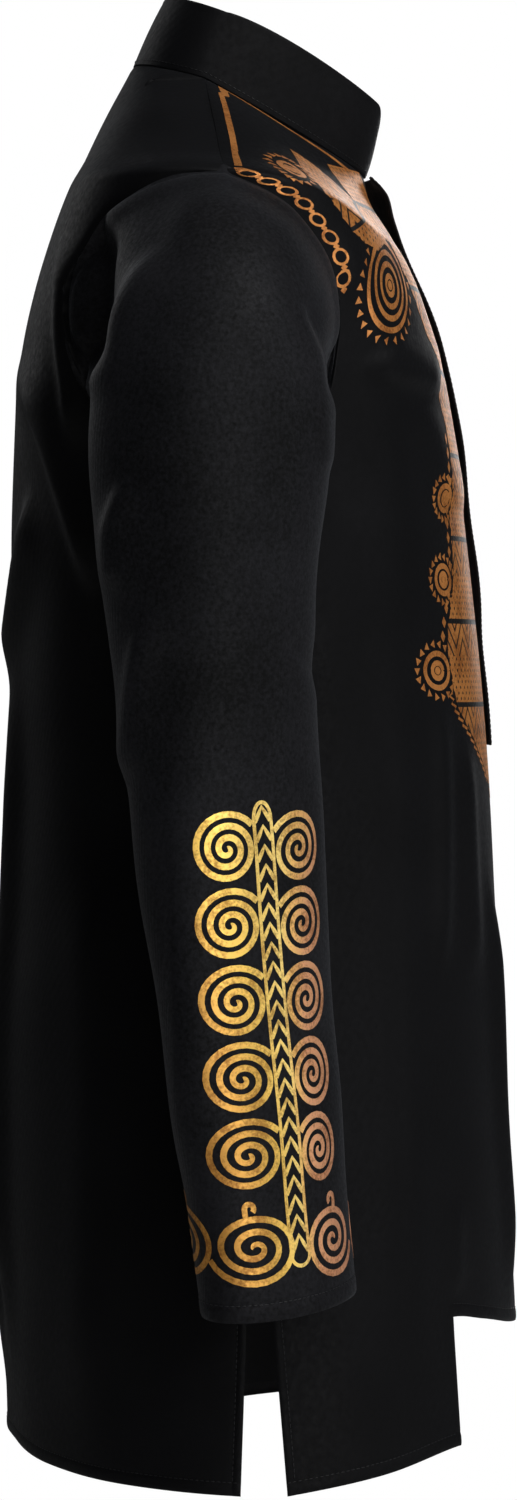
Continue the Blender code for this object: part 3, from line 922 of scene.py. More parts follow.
    def build(self) -> Piece:
        """Makes the panel's cloth."""
        return make_cloth(self.name, self.surface, CLOTH, self.left_out if self.split else None)


def turned_edge(distance: Array, depth: float) -> Array:
    """The lift of a turned and stitched edge: doubled cloth, with a dip along its stitches."""
    doubled = DOUBLED_LIFT * smooth_step((depth + DOUBLED_FADE / 2 - distance) / DOUBLED_FADE)
    return doubled - STITCH_DIP.at(distance - depth + HEM_STITCH_INSET) - ROLLED_EDGE.at(distance)


@dataclass
class Sleeve:
    """A set-in sleeve, a tube from its armhole to its cuff."""

    name: str
    side: Side
    panels: tuple[Panel, Panel]
    drape: Drape
    around_count: int = 148
    rows: int = 168
    ring_samples: int = 14
    length: float = 0.55
    head_lift: float = 0.0014
    head_from_seam: float = 0.009
    head_reach: float = 0.008
    surface: Surface = field(init=False)
    forward: int = field(init=False)
    kept_order: bool = field(init=False)

    def __post_init__(self) -> None:
        """Lays the sleeve's points out and drapes them."""
        shares = np.linspace(0, 1, self.around_count // 2 + 1)
        front, back = (at_shares(half.armhole_path(), shares) for half in (FRONT, BACK))
        rings = [np.concatenate([front, back[-2:0:-1]])]
        angle = 2 * math.pi * np.arange(self.around_count) / self.around_count
        ahead, outward = np.sin(angle), np.cos(angle)
        for outer_x, outer_z, inner_x, inner_z, centre_y, half_depth, turn in SLEEVE:
            x = (outer_x + inner_x) / 2 + (outer_x - inner_x) / 2 * outward - turn * half_depth * ahead
            z = (outer_z + inner_z) / 2 + (outer_z - inner_z) / 2 * outward
            rings.append(np.stack([x, centre_y - half_depth * ahead, z], axis=-1))
        rings[-1][:, 2] += CUFF_FRONT_LIFT * ahead
        dense = smooth_path(np.array(rings), self.ring_samples)
        down = edge_shares(self.length, self.rows, BELOW_ARMHOLE, CUFF_EDGE)
        lines = [at_shares(dense[:, k], down) for k in range(self.around_count)]
        grid = np.stack([*lines, lines[0]], axis=1)
        grid[..., 0] *= self.side.value
        middle = grid[:, :-1].mean(axis=1, keepdims=True)
        self.surface = Surface(grid, around=True).faced_away_from(middle)
        points = self.surface.points
        self.kept_order = bool(np.allclose(points[:, 1], grid[:, 1]))
        self.forward = -1 if points[-1, 1, 1] > points[-1, 0, 1] else 1
        walked = lengths_along(points)
        lift = self.drape.lift(points) + turned_edge(walked[-1] - walked, CUFF_HEM_DEPTH)
        lift += self.head_lift * soft_bump(walked - self.head_from_seam, self.head_reach)
        lift -= SLEEVE_DIP.at(walked)
        self.surface.moved(lift * smooth_step(walked / SLEEVE_DIP.reach + 0.2))

    def column_of(self, angle: float) -> float:
        """The grid column at an angle ahead of the sleeve's outermost line."""
        return (self.forward * angle / (2 * math.pi) * self.around_count) % self.around_count

    def build(self) -> Piece:
        """Makes the sleeve's cloth, with a seam allowance that lies under the panels.

        Returns:
            The piece.
        """
        allowance = []
        for distance in (SEAM_ALLOWANCE, SEAM_ALLOWANCE / 5):
            count = self.around_count // 2
            front, back = (panel.under_armhole(self.side, distance, count) for panel in self.panels)
            front[-1] = (front[-1] + back[-1]) / 2 - np.array([0.0, 0.0, distance])
            ring = np.concatenate([front, back[-2:0:-1], front[:1]])
            allowance.append(ring if self.kept_order else ring[::-1])
        points = np.concatenate([allowance, self.surface.points])
        return make_cloth(self.name, Surface(points, around=True), CLOTH)


@dataclass
class Collar:
    """The stand collar, one doubled band from its right front end to its left one."""

    name: str = "stand_collar"
    wall: float = 0.0020
    half_width: float = 0.0630
    side_y: float = 0.0130
    side_z: float = 0.0380
    front_end: tuple[float, float] = (-0.0762, -0.0112)
    back_end: tuple[float, float] = (0.0485, 0.0515)
    front_bow: float = 1.25
    corner: float = 0.020
    height: float = 0.040
    end_gap: float = 0.0015
    seam_lift: float = 0.00066
    belly: float = 0.0007
    hem_depth: float = 0.0035
    allowance: Table = ((0.0026, 0.0008), (0.0030, SEAM_ALLOWANCE))
    rows: int = 22
    corner_columns: int = 12
    front_columns: int = 51
    back_columns: int = 60
    surface: Surface = field(init=False)

    def __post_init__(self) -> None:
        """Lays the collar's points out."""
        angles = np.linspace(math.pi / 2, 0.0, SIDE_RING_ANGLES)
        walked = lengths_along(FRONT.points(0.0, angles))
        near = self.corner * (1 - np.cos(np.linspace(0, math.pi / 2, self.corner_columns)))
        rest = np.linspace(self.corner, walked[-1] - self.end_gap, self.front_columns + 1)[1:]
        from_end = np.concatenate([near, rest])
        front = np.interp(self.end_gap + from_end, walked, angles)
        x = np.clip(1 - from_end / self.corner, 0.0, 1.0)
        heights = 1 - (1 - np.sqrt(1 - x * x)) * self.corner / self.height
        back = BACK.angles_at(0.0, np.linspace(0, 1, self.back_columns), 0.0)[-2::-1]
        v = np.linspace(1, 0, self.rows + 1)[:, None]
        left = np.concatenate([self.side_of(FRONT, front, v * heights), self.side_of(BACK, back, v)], axis=1)
        left[:, -1, 0] = 0.0
        right = left * np.array([-1.0, 1.0, 1.0])
        grid = np.concatenate([right, left[:, -2::-1]], axis=1)
        self.surface = Surface(grid).faced_away_from(np.zeros(3))
        lift = turned_edge((1 - v) * self.height, self.hem_depth) + self.belly * np.sin(v * math.pi)
        self.surface.moved(np.broadcast_to(lift, grid.shape[:2]))

    def side_of(self, half: Half, angle: Array, share: Array) -> Array:
        """The collar's points over one half of the neckline, by row and column.

        Args:
            half: The front or the back half.
            angle: The angles of the columns.
            share: Shares of the way from the seam up.

        Returns:
            The points.
        """
        base = half.points(0.0, angle)
        reach = np.sin(angle)
        (end_y, end_z), bow = (self.front_end, self.front_bow) if half is FRONT else (self.back_end, 1.0)
        y = self.side_y + (end_y - self.side_y) * reach
        z = self.side_z + (end_z - self.side_z) * reach**bow
        top = np.stack([self.half_width * np.cos(angle), y, z], axis=-1)
        gap = self.seam_lift / self.height
        share = (gap + (1 - gap) * np.broadcast_to(share, (self.rows + 1, len(angle))))[..., None]
        return base * (1 - share) + top * share

    def build(self) -> Piece:
        """Makes the collar's cloth, with a seam allowance that hangs inside the neck seam.

        Returns:
            The piece.
        """
        seam = self.surface.points[-1]
        inward, down = unit(-seam * np.array([1.0, 1.0, 0.0])), np.array([0.0, 0.0, -1.0])
        allowance = [seam + inward * across + down * drop for across, drop in self.allowance]
        return make_cloth(self.name, Surface(np.concatenate([self.surface.points, allowance])), self.wall)


@dataclass
class Fly:
    """The strip over the neck slit, sewn along the wearer's left and free along the right."""

    name: str = "fly_placket"
    half_width: float = 0.019
    wall: float = 0.0015
    rest: float = 0.0004
    lift_power: float = 1.3
    hem_depth: float = 0.0028
    hem_share: float = 0.7
    wave: float = 0.0005
    wave_length: float = 0.071
    top: float = FLY_LIFT[0][0]
    bottom: float = FLY_LIFT[-1][0]
    rows: int = 120
    columns: int = 16
    surface: Surface = field(init=False)

    def __post_init__(self) -> None:
        """Lays the strip's points out."""
        down = edge_shares(self.top - self.bottom, self.rows, FLY_TOP_EDGE, TURNED_EDGE)
        across = edge_shares(2 * self.half_width, self.columns, FLY_FREE_EDGE, FLY_SEWN_EDGE)
        t, s = np.meshgrid(down, across, indexing="ij")
        x = self.half_width * (2 * s - 1)
        z = self.top + (self.bottom - self.top) * t
        grid = FRONT.points(*FRONT.chart_of_front_view(np.abs(x), z))
        grid[..., 0] = x
        grid[..., 1] -= SEAM_GAP + self.wall + self.rest + fly_lift(z) * (1 - s) ** self.lift_power
        self.surface = Surface(grid).faced_away_from(np.array([0.0, 0.0, -0.2]))
        inward = np.minimum(s, 1 - s) * 2 * self.half_width
        waves = self.wave * np.sin(z * 2 * math.pi / self.wave_length + 1.0) * (1 - s)
        self.surface.moved(turned_edge(inward, self.hem_depth) * self.hem_share + waves)

    def build(self) -> Piece:
        """Makes the strip's cloth."""
        return make_cloth(self.name, self.surface, self.wall)


@dataclass
class FlatMap:
    """Finds where a place on the flat print lies on a surface, by two numbers known at each grid point."""

    surface: Surface
    across: Array
    up: Array
    tree: KDTree = field(init=False)
    flat: Array = field(init=False)
    down_step: Array = field(init=False)
    side_step: Array = field(init=False)

    def __post_init__(self) -> None:
        """Sorts the grid's places for the search."""
        self.flat = np.stack([self.across, self.up], axis=-1)
        self.tree = KDTree(self.across.size)
        for index, place in enumerate(self.flat.reshape(-1, 2)):
            self.tree.insert((place[0], place[1], 0.0), index)
        self.tree.balance()
        self.down_step = np.gradient(self.flat, axis=0)
        self.side_step = np.gradient(self.flat, axis=1)

    def on_cloth(self, places: Array, offset: float) -> Array:
        """Points on the cloth.

        Args:
            places: Flat places, in the two numbers.
            offset: How far off the cloth they stand.

        Returns:
            The points.
        """
        rows, columns = self.flat.shape[:2]
        near = np.array([self.tree.find((*place, 0.0))[1] for place in places])
        row, column = (near // columns).astype(float), (near % columns).astype(float)
        for _ in range(NEWTON_STEPS):
            j = np.clip(np.round(row), 0, rows - 1).astype(int)
            i = np.clip(np.round(column), 0, columns - 1).astype(int)
            down, side = self.down_step[j, i], self.side_step[j, i]
            here = self.flat[j, i] + (row - j)[:, None] * down + (column - i)[:, None] * side
            miss = places - here
            spread = cross(down, side)
            row, column = row + cross(miss, side) / spread, column + cross(down, miss) / spread
        return self.surface.at(row, column, offset)


@dataclass(frozen=True)
class Spiral:
    """A spiral's sizes: from turn to turn, its line's width, its turns, and its outer end in degrees.

    The end's angle is the one that it has on the near side of the stem.
    """

    pitch: float
    stroke: float
    turns: float
    end: float


@dataclass
class FoilPrint:
    """Foil shapes drawn flat, in metres, and then laid on the cloth."""

    name: str
    cloth: FlatMap
    film: float = 0.00008
    offset: float = 0.00012
    probe: float = 0.001
    spiral_start: float = 0.09
    spiral_points: int = 26
    start_stroke: float = 0.7
    ring_points: float = 2600.0
    least_ring_points: int = 14
    bm: bmesh.types.BMesh = field(init=False)

    def __post_init__(self) -> None:
        """Starts an empty print."""
        self.bm = bmesh.new()

    def strip(self, rows: int, columns: int, place: Callable[[float, float], Sequence[float]]) -> None:
        """Adds a filled strip.

        Args:
            rows: How many faces it has down its length.
            columns: How many it has across.
            place: Gives a corner's flat place for its shares of the way down and across.
        """
        made = bmesh.ops.create_grid(self.bm, x_segments=columns, y_segments=rows, size=0.5)["verts"]
        for vert in made:
            vert.co = (*place(0.5 - vert.co.y, vert.co.x + 0.5), 0.0)

    def ribbon(self, path: Array, width: Array | float) -> None:
        """Adds a stroke of foil along a flat path.

        Args:
            path: The middle of the stroke.
            width: How wide it is, all along or at each point.
        """
        last = len(path) - 1
        run = unit(np.gradient(path, axis=0))
        side = np.stack([-run[:, 1], run[:, 0]], axis=-1) * np.broadcast_to(width, (len(path),))[:, None]

        def place(down: float, across: float) -> Array:
            """The flat place of a corner."""
            return path[round(down * last)] + side[round(down * last)] * (across - 0.5)

        self.strip(last, 2, place)

    def spiral(self, middle: Sequence[float], shape: Spiral, side: int, squeeze: float) -> None:
        """Adds a spiral of even pitch.

        Args:
            middle: Its centre.
            shape: Its sizes.
            side: 1 winds it outward anticlockwise, and -1 is its mirror image.
            squeeze: Its width over its height.
        """
        turn = np.linspace(self.spiral_start, shape.turns, int(self.spiral_points * shape.turns))
        reach = shape.pitch * turn
        angle = math.radians(shape.end) + 2 * math.pi * (shape.turns - turn)
        path = np.stack([-side * reach * np.cos(angle) * squeeze, reach * np.sin(angle)], axis=-1)
        widening = self.start_stroke + (1 - self.start_stroke) * smooth_step(turn)
        self.ribbon(path + np.array(middle), shape.stroke * widening)

    def ring(self, middle: Sequence[float], radius: float, stroke: float, squeeze: float = 1.0) -> None:
        """Adds a ring by the radius of its line.

        Args:
            middle: Its centre.
            radius: Its line's radius.
            stroke: The width of the line.
            squeeze: Its width over its height.
        """
        angle = np.linspace(0, 2 * math.pi, max(self.least_ring_points, int(radius * self.ring_points)))
        path = np.stack([radius * np.cos(angle) * squeeze, radius * np.sin(angle)], axis=-1)
        self.ribbon(path + np.array(middle), stroke)

    def polygon(
        self, middle: Sequence[float], radius: float, corners: int, turn: float = 0.0, squeeze: float = 1.0
    ) -> None:
        """Adds a filled regular shape, such as a dot, a diamond or a triangle.

        Args:
            middle: Its centre.
            radius: How far its corners stand out.
            corners: How many it has.
            turn: The angle of its first corner, in radians.
            squeeze: Its width over its height.
        """
        bm = self.bm
        shape = {"cap_ends": True, "cap_tris": True, "segments": corners, "radius": radius}
        made = bmesh.ops.create_circle(bm, **shape)["verts"]
        bmesh.ops.rotate(bm, verts=made, matrix=Matrix.Rotation(turn, 3, "Z"))
        bmesh.ops.scale(bm, verts=made, vec=(squeeze, 1.0, 1.0))
        bmesh.ops.translate(bm, verts=made, vec=(*middle, 0.0))

    def build(self) -> Piece:
        """Lays the shapes on the cloth and gives the foil its thickness.

        Returns:
            The piece.
        """
        bm = self.bm
        bmesh.ops.recalc_face_normals(bm, faces=bm.faces[:])
        layer = bm.loops.layers.uv.verify()
        for face in bm.faces:
            for loop in face.loops:
                loop[layer].uv = loop.vert.co.xy
        flat = np.array([v.co[:2] for v in bm.verts])
        placed = self.cloth.on_cloth(flat, self.offset)
        toward = self.cloth.on_cloth(flat, self.offset + self.probe) - placed
        for vert, place in zip(bm.verts, placed):
            vert.co = place
        bm.normal_update()
        bm.verts.index_update()
        turned = [f for f in bm.faces if f.normal.dot(Vector(toward[f.verts[0].index])) < 0]
        bmesh.ops.reverse_faces(bm, faces=turned)
        piece = link(self.name, bm)
        piece.data.shade_flat()
        wall = piece.modifiers.new("film", "SOLIDIFY")
        wall.thickness = self.film
        wall.offset = 1.0
        return piece


@dataclass
class StitchRows:
    """Rows of lockstitch, each stitch a short rounded thread on the cloth."""

    name: str
    pitch: float = 0.0030
    length: float = 0.0023
    radius: float = 0.00024
    half_reach: float = 0.0005
    probe: float = 0.001
    bm: bmesh.types.BMesh = field(init=False)
    stitch: bpy.types.Mesh = field(init=False)

    def __post_init__(self) -> None:
        """Starts with no stitches, and shapes the one that all are copies of."""
        self.bm = bmesh.new()
        shape = bmesh.new()
        poles_along = Matrix.Rotation(math.pi / 2, 4, "Y")
        bmesh.ops.create_uvsphere(shape, u_segments=6, v_segments=4, radius=1.0, matrix=poles_along)
        bmesh.ops.scale(shape, verts=shape.verts[:], vec=(self.length / 2, self.radius, self.radius))
        self.stitch = bpy.data.meshes.new("stitch")
        shape.to_mesh(self.stitch)
        shape.free()

    def row(self, surface: Surface, rows: Array, columns: Array) -> None:
        """Adds a row of stitches along a line on a surface.

        Args:
            surface: The cloth.
            rows: The line's places down the cloth's grid.
            columns: The same line's places across it.
        """
        line = surface.at(rows, columns, 0.0)
        walked = lengths_along(line)
        middles = (np.arange(int(walked[-1] / self.pitch)) + 0.5) * self.pitch
        row, column = np.interp(middles, walked, rows), np.interp(middles, walked, columns)
        here = surface.at(row, column, self.radius / 2)
        up = unit(surface.at(row, column, self.probe) - surface.at(row, column, 0.0))
        behind, ahead = (
            np.stack([np.interp(middles + reach, walked, line[:, k]) for k in range(3)], axis=-1)
            for reach in (-self.half_reach, self.half_reach)
        )
        run = unit(ahead - behind)
        side = unit(np.cross(up, run))
        for place, *axes in zip(here, run, side, np.cross(run, side)):
            copy = self.stitch.copy()
            copy.transform(Matrix.Translation(place) @ Matrix(axes).transposed().to_4x4())
            self.bm.from_mesh(copy)
            bpy.data.meshes.remove(copy)

    def build(self) -> Piece:
        """Makes one piece of the stitches.

        Returns:
            The piece.
        """
        bpy.data.meshes.remove(self.stitch)
        bmesh.ops.recalc_face_normals(self.bm, faces=self.bm.faces[:])
        return link(self.name, self.bm)


def linear(colour: str) -> tuple[float, float, float, float]:
    """An sRGB hex colour as linear values.

    Args:
        colour: The colour, as # and six digits.

    Returns:
        Red, green, blue and an alpha of 1.
    """
    values = [int(colour[i : i + 2], 16) / 255 for i in (1, 3, 5)]
    red, green, blue = (v / 12.92 if v <= 0.04045 else ((v + 0.055) / 1.055) ** 2.4 for v in values)
    return red, green, blue, 1.0


def set_all(tree: Tree, node: Node, values: dict[int | str, object]) -> None:
    """Sets a node's sockets to constants, or links them to other sockets.

    Args:
        tree: The node's tree.
        node: The node.
        values: Values or sockets, by the name or number of the input.
    """
    for key, value in values.items():
        if isinstance(value, Socket):
            tree.links.new(value, node.inputs[key])
        else:
            node.inputs[key].default_value = value


def add(
    tree: Tree,
    kind: str,
    settings: dict[str, object] | None = None,
    inputs: dict[int | str, object] | None = None,
) -> Node:
    """Adds a node.

    Args:
        tree: The tree that gets it.
        kind: Its Blender type.
        settings: Its own properties.
        inputs: Its sockets' values, or the sockets that link to them.

    Returns:
        The node.
    """
    node = tree.nodes.new(kind)
    for key, value in (settings or {}).items():
        setattr(node, key, value)
    set_all(tree, node, inputs or {})
    return node


def calc(tree: Tree, operation: str, *values: object) -> Socket:
    """One step of arithmetic on sockets and numbers."""
    return add(tree, "ShaderNodeMath", {"operation": operation}, dict(enumerate(values))).outputs[0]


def noise(tree: Tree, place: Node, scale: float, detail: float, roughness: float = 0.5) -> Socket:
    """Noise in the object's own space.

    Args:
        tree: The tree that gets it.
        place: The texture coordinates.
        scale: Its scale, a metre's worth.
        detail: Its octaves.
        roughness: How strong the finer octaves are.

    Returns:
        The value socket.
    """
    inputs = {"Vector": place.outputs["Object"], "Scale": scale, "Detail": detail, "Roughness": roughness}
    return add(tree, "ShaderNodeTexNoise", inputs=inputs).outputs["Fac"]


def spread(tree: Tree, value: Socket, start: Sequence[float], end: Sequence[float] = (0.0, 1.0)) -> Socket:
    """A value moved from one range to another, and held at its ends.

    Args:
        tree: The tree that gets the node.
        value: The value.
        start: The range that it comes from.
        end: The range that it goes to.

    Returns:
        The moved value.
    """
    inputs = {"Value": value, "From Min": start[0], "From Max": start[1], "To Min": end[0], "To Max": end[1]}
    return add(tree, "ShaderNodeMapRange", inputs=inputs).outputs[0]


def relief(tree: Tree, height: Socket, strength: float, distance: float) -> None:
    """Gives the main shader a bump.

    Args:
        tree: The material's tree.
        height: The bump's height.
        strength: Its strength.
        distance: Its depth in metres.
    """
    bump = add(tree, "ShaderNodeBump", inputs={"Height": height, "Strength": strength, "Distance": distance})
    tree.links.new(bump.outputs[0], tree.nodes["Principled BSDF"].inputs["Normal"])


def shades(tree: Tree, source: Socket, stops: Sequence[tuple[float, str]]) -> Socket:
    """Colours for a value from 0 to 1.

    Args:
        tree: The tree that gets the ramp.
        source: The value.
        stops: Places and their hex colours.

    Returns:
        The colour socket.
    """
    ramp = add(tree, "ShaderNodeValToRGB", inputs={0: source})
    while len(ramp.color_ramp.elements) < len(stops):
        ramp.color_ramp.elements.new(0.5)
    for element, (place, colour) in zip(ramp.color_ramp.elements, stops):
        element.position, element.color = place, linear(colour)
    return ramp.outputs["Color"]


def new_material(name: str) -> tuple[bpy.types.Material, Tree, Node]:
    """An empty material with its tree and its main shader.

    Args:
        name: Its name.

    Returns:
        The material, its tree and its shader.
    """
    material = bpy.data.materials.new(name)
    material.use_nodes = True
    tree = material.node_tree
    return material, tree, tree.nodes["Principled BSDF"]


@dataclass(frozen=True)
class BlackShirting:
    """Brushed polyester shirting, dyed black.

    A fine warp-faced twill whose raised fibres catch a soft grey bloom, a little mottled.
    """

    name: str
    dark: str = "#050506"
    pale: str = "#0B0B0D"
    nap_mm: float = 1.7
    nap_share: float = 0.75
    relief: float = 0.35
    bloom: float = 0.07
    gloss: float = 0.08
    roughness: float = 0.58
    mottle: float = 14.0
    mottle_reach: float = 0.325
    nap_depth: float = 0.00025
    thread_mm: float = 0.9
    twill_angle: float = 38.0
    twill_share: float = 0.35

    def make(self) -> bpy.types.Material:
        """Makes the material.

        Returns:
            The material.
        """
        material, tree, shader = new_material(self.name)
        place = add(tree, "ShaderNodeTexCoord")
        nap = noise(tree, place, 1000 / self.nap_mm / 2, 3.0, 0.65)
        mixed = calc(tree, "MULTIPLY_ADD", nap, self.nap_share, noise(tree, place, self.mottle, 2.0))
        middle, reach = (self.nap_share + 1) / 2, self.mottle_reach
        mottle = spread(tree, mixed, (middle - reach, middle + reach))
        # Twill lines: drawn at about twice the real 0.4 mm, so that they show close up.
        slant = {"Vector": place.outputs["UV"], "Rotation": (0.0, 0.0, math.radians(self.twill_angle))}
        turned = add(tree, "ShaderNodeMapping", inputs=slant).outputs[0]
        scale = 1000 / self.thread_mm / WAVES_PER_SCALE
        lines = {"Vector": turned, "Scale": scale, "Distortion": 0.6, "Detail": 1.0}
        twill = add(tree, "ShaderNodeTexWave", inputs=lines).outputs["Fac"]
        relief(tree, calc(tree, "MULTIPLY_ADD", twill, self.twill_share, nap), self.relief, self.nap_depth)
        finish = {
            "Base Color": shades(tree, mottle, ((0.0, self.dark), (1.0, self.pale))),
            "Roughness": spread(tree, nap, (0.3, 0.7), (self.roughness + 0.1, self.roughness - 0.1)),
            "Specular IOR Level": self.gloss,
            "Sheen Weight": self.bloom,
            "Sheen Roughness": 0.45,
            "Sheen Tint": linear("#8C8F96"),
        }
        set_all(tree, shader, finish)
        return material


@dataclass(frozen=True)
class GoldFoil:
    """Hot-pressed gold foil on cloth: a thin metal film, broken into fine grain by the weave below, its tint
    carrying a painted highlight and a painted copper reflection.
    """

    name: str
    # Tints by arc in mm ahead of the stem: orange gold behind, a painted bright yellow highlight about the
    # stem, and a painted copper reflection ahead of it.
    tints_and_highlight: tuple[tuple[float, str], ...] = (
        (-45.0, "#CC9242"),
        (-24.0, "#DEA850"),
        (-9.0, "#FFD468"),
        (3.0, "#FFE084"),
        (7.0, "#FFCC78"),
        (14.0, "#F6B686"),
        (45.0, "#E0A280"),
    )
    slide_heights: tuple[float, float] = (0.080, 0.250)
    slide_shares: tuple[float, float] = (1.0, 0.3)
    rough: tuple[float, float] = (0.6, 0.34)
    grain_mm: float = 0.9
    grain_relief: tuple[float, float] = (0.45, 0.0001)
    clouds: float = 70.0
    metal: float = 0.6

    def make(self) -> bpy.types.Material:
        """Makes the material.

        Returns:
            The material.
        """
        material, tree, shader = new_material(self.name)
        self.dress_film(tree, shader, add(tree, "ShaderNodeTexCoord"))
        return material

    def dress_film(self, tree: Tree, shader: Node, place: Node) -> Socket:
        """Adds the film's tint with its painted highlight and painted copper reflection, its grain and its
        gloss.

        Args:
            tree: The material's nodes.
            shader: Its shader.
            place: Its texture coordinates.

        Returns:
            The colour of the film.
        """
        grain = noise(tree, place, 1000 / self.grain_mm / 2, 2.0, 0.6)
        cloudy = spread(tree, calc(tree, "ADD", grain, noise(tree, place, self.clouds, 2.0)), (0.75, 1.25))
        # Painted highlight and painted reflection: the film's tint slides round the sleeve from orange gold
        # behind the stem, through a painted bright yellow highlight about the stem, to a painted copper
        # reflection ahead of it, most of all low down.
        flat = add(tree, "ShaderNodeSeparateXYZ", inputs={0: place.outputs["UV"]})
        first, last = self.tints_and_highlight[0][0], self.tints_and_highlight[-1][0]
        slide = spread(tree, flat.outputs["Y"], self.slide_heights, self.slide_shares)
        across = spread(tree, calc(tree, "MULTIPLY", flat.outputs["X"], slide), (first / 1000, last / 1000))
        stops = tuple(((mm - first) / (last - first), colour) for mm, colour in self.tints_and_highlight)
        shadow = shades(tree, cloudy, ((0.0, "#BCAC9E"), (0.7, "#FFFFFF")))
        mix = {"data_type": "RGBA", "blend_type": "MULTIPLY"}
        tint = add(tree, "ShaderNodeMix", mix, {0: 1.0, 6: shades(tree, across, stops), 7: shadow}).outputs[2]
        relief(tree, grain, *self.grain_relief)
        rough = spread(tree, grain, (0.3, 0.7), self.rough)
        set_all(tree, shader, {"Base Color": tint, "Roughness": rough, "Metallic": self.metal})
        return tint


@dataclass(frozen=True)
class PatternedFoil(GoldFoil):
    """The same foil with dots, zigzags and the gaps between them left open, where black cloth shows."""

    cloth: str = "#0A0A0B"
    dot_pitch_mm: float = 4.4
    dot_share: float = 0.2
    zone_mm: float = 46.0
    zigzag_mm: float = 9.5
    zigzag_half: float = 0.012
    zigzag_slope: float = 1.2
    zigzag_zone: float = 0.42
    line_share: float = 0.24
    gap_share: float = 0.03

    def make(self) -> bpy.types.Material:
        """Makes the material.

        Returns:
            The material.
        """
        material, tree, shader = new_material(self.name)
        place = add(tree, "ShaderNodeTexCoord")
        film = self.dress_film(tree, shader, place)
        flat = add(tree, "ShaderNodeSeparateXYZ", inputs={0: place.outputs["UV"]})
        across, up = flat.outputs["X"], flat.outputs["Y"]
        folded = calc(tree, "PINGPONG", across, self.zigzag_half)
        zigzag = calc(tree, "MULTIPLY_ADD", folded, self.zigzag_slope, up)
        line = calc(tree, "FRACT", calc(tree, "MULTIPLY", zigzag, 1000 / self.zigzag_mm))
        zone = calc(tree, "FRACT", calc(tree, "MULTIPLY", up, 1000 / self.zone_mm))
        dotted = calc(tree, "GREATER_THAN", zone, self.zigzag_zone)
        from_border = calc(tree, "ABSOLUTE", calc(tree, "SUBTRACT", zone, self.zigzag_zone))
        gap = calc(tree, "LESS_THAN", from_border, self.gap_share)
        lines = calc(tree, "LESS_THAN", line, self.line_share)
        layers = {0: dotted, 2: lines, 3: self.dots(tree, across, up)}
        opened = calc(tree, "MAXIMUM", add(tree, "ShaderNodeMix", inputs=layers).outputs[0], gap)
        layers = {0: opened, 6: film, 7: linear(self.cloth)}
        colour = add(tree, "ShaderNodeMix", {"data_type": "RGBA"}, layers).outputs[2]
        metal = spread(tree, opened, (0.0, 1.0), (self.metal, 0.0))
        set_all(tree, shader, {"Base Color": colour, "Metallic": metal})
        return material

    def dots(self, tree: Tree, across: Socket, up: Socket) -> Socket:
        """Round dots on a slanted square grid.

        Args:
            tree: The material's nodes.
            across: The flat place across the print.
            up: The flat place up the print.

        Returns:
            1 in the dots, and 0 between them.
        """
        scale = 1000 / self.dot_pitch_mm * math.sqrt(0.5)
        squares = []
        for operation in ("ADD", "SUBTRACT"):
            turned = calc(tree, "MULTIPLY", calc(tree, operation, across, up), scale)
            centred = calc(tree, "SUBTRACT", calc(tree, "FRACT", turned), 0.5)
            squares.append(calc(tree, "MULTIPLY", centred, centred))
        return calc(tree, "LESS_THAN", calc(tree, "ADD", *squares), self.dot_share**2)


@dataclass(frozen=True)
class PolyesterThread:
    """Twisted black polyester sewing thread, with a faint shine on each stitch."""

    name: str = "polyester_sewing_thread"
    colour: str = "#1B1B1E"

    def make(self) -> bpy.types.Material:
        """Makes the material.

        Returns:
            The material.
        """
        material, tree, shader = new_material(self.name)
        place = add(tree, "ShaderNodeTexCoord")
        twist = noise(tree, place, 1500.0, 1.0)
        colour = shades(tree, twist, ((0.3, "#0C0C0E"), (0.7, self.colour)))
        set_all(tree, shader, {"Base Color": colour, "Roughness": 0.45, "Specular IOR Level": 0.35})
        return material


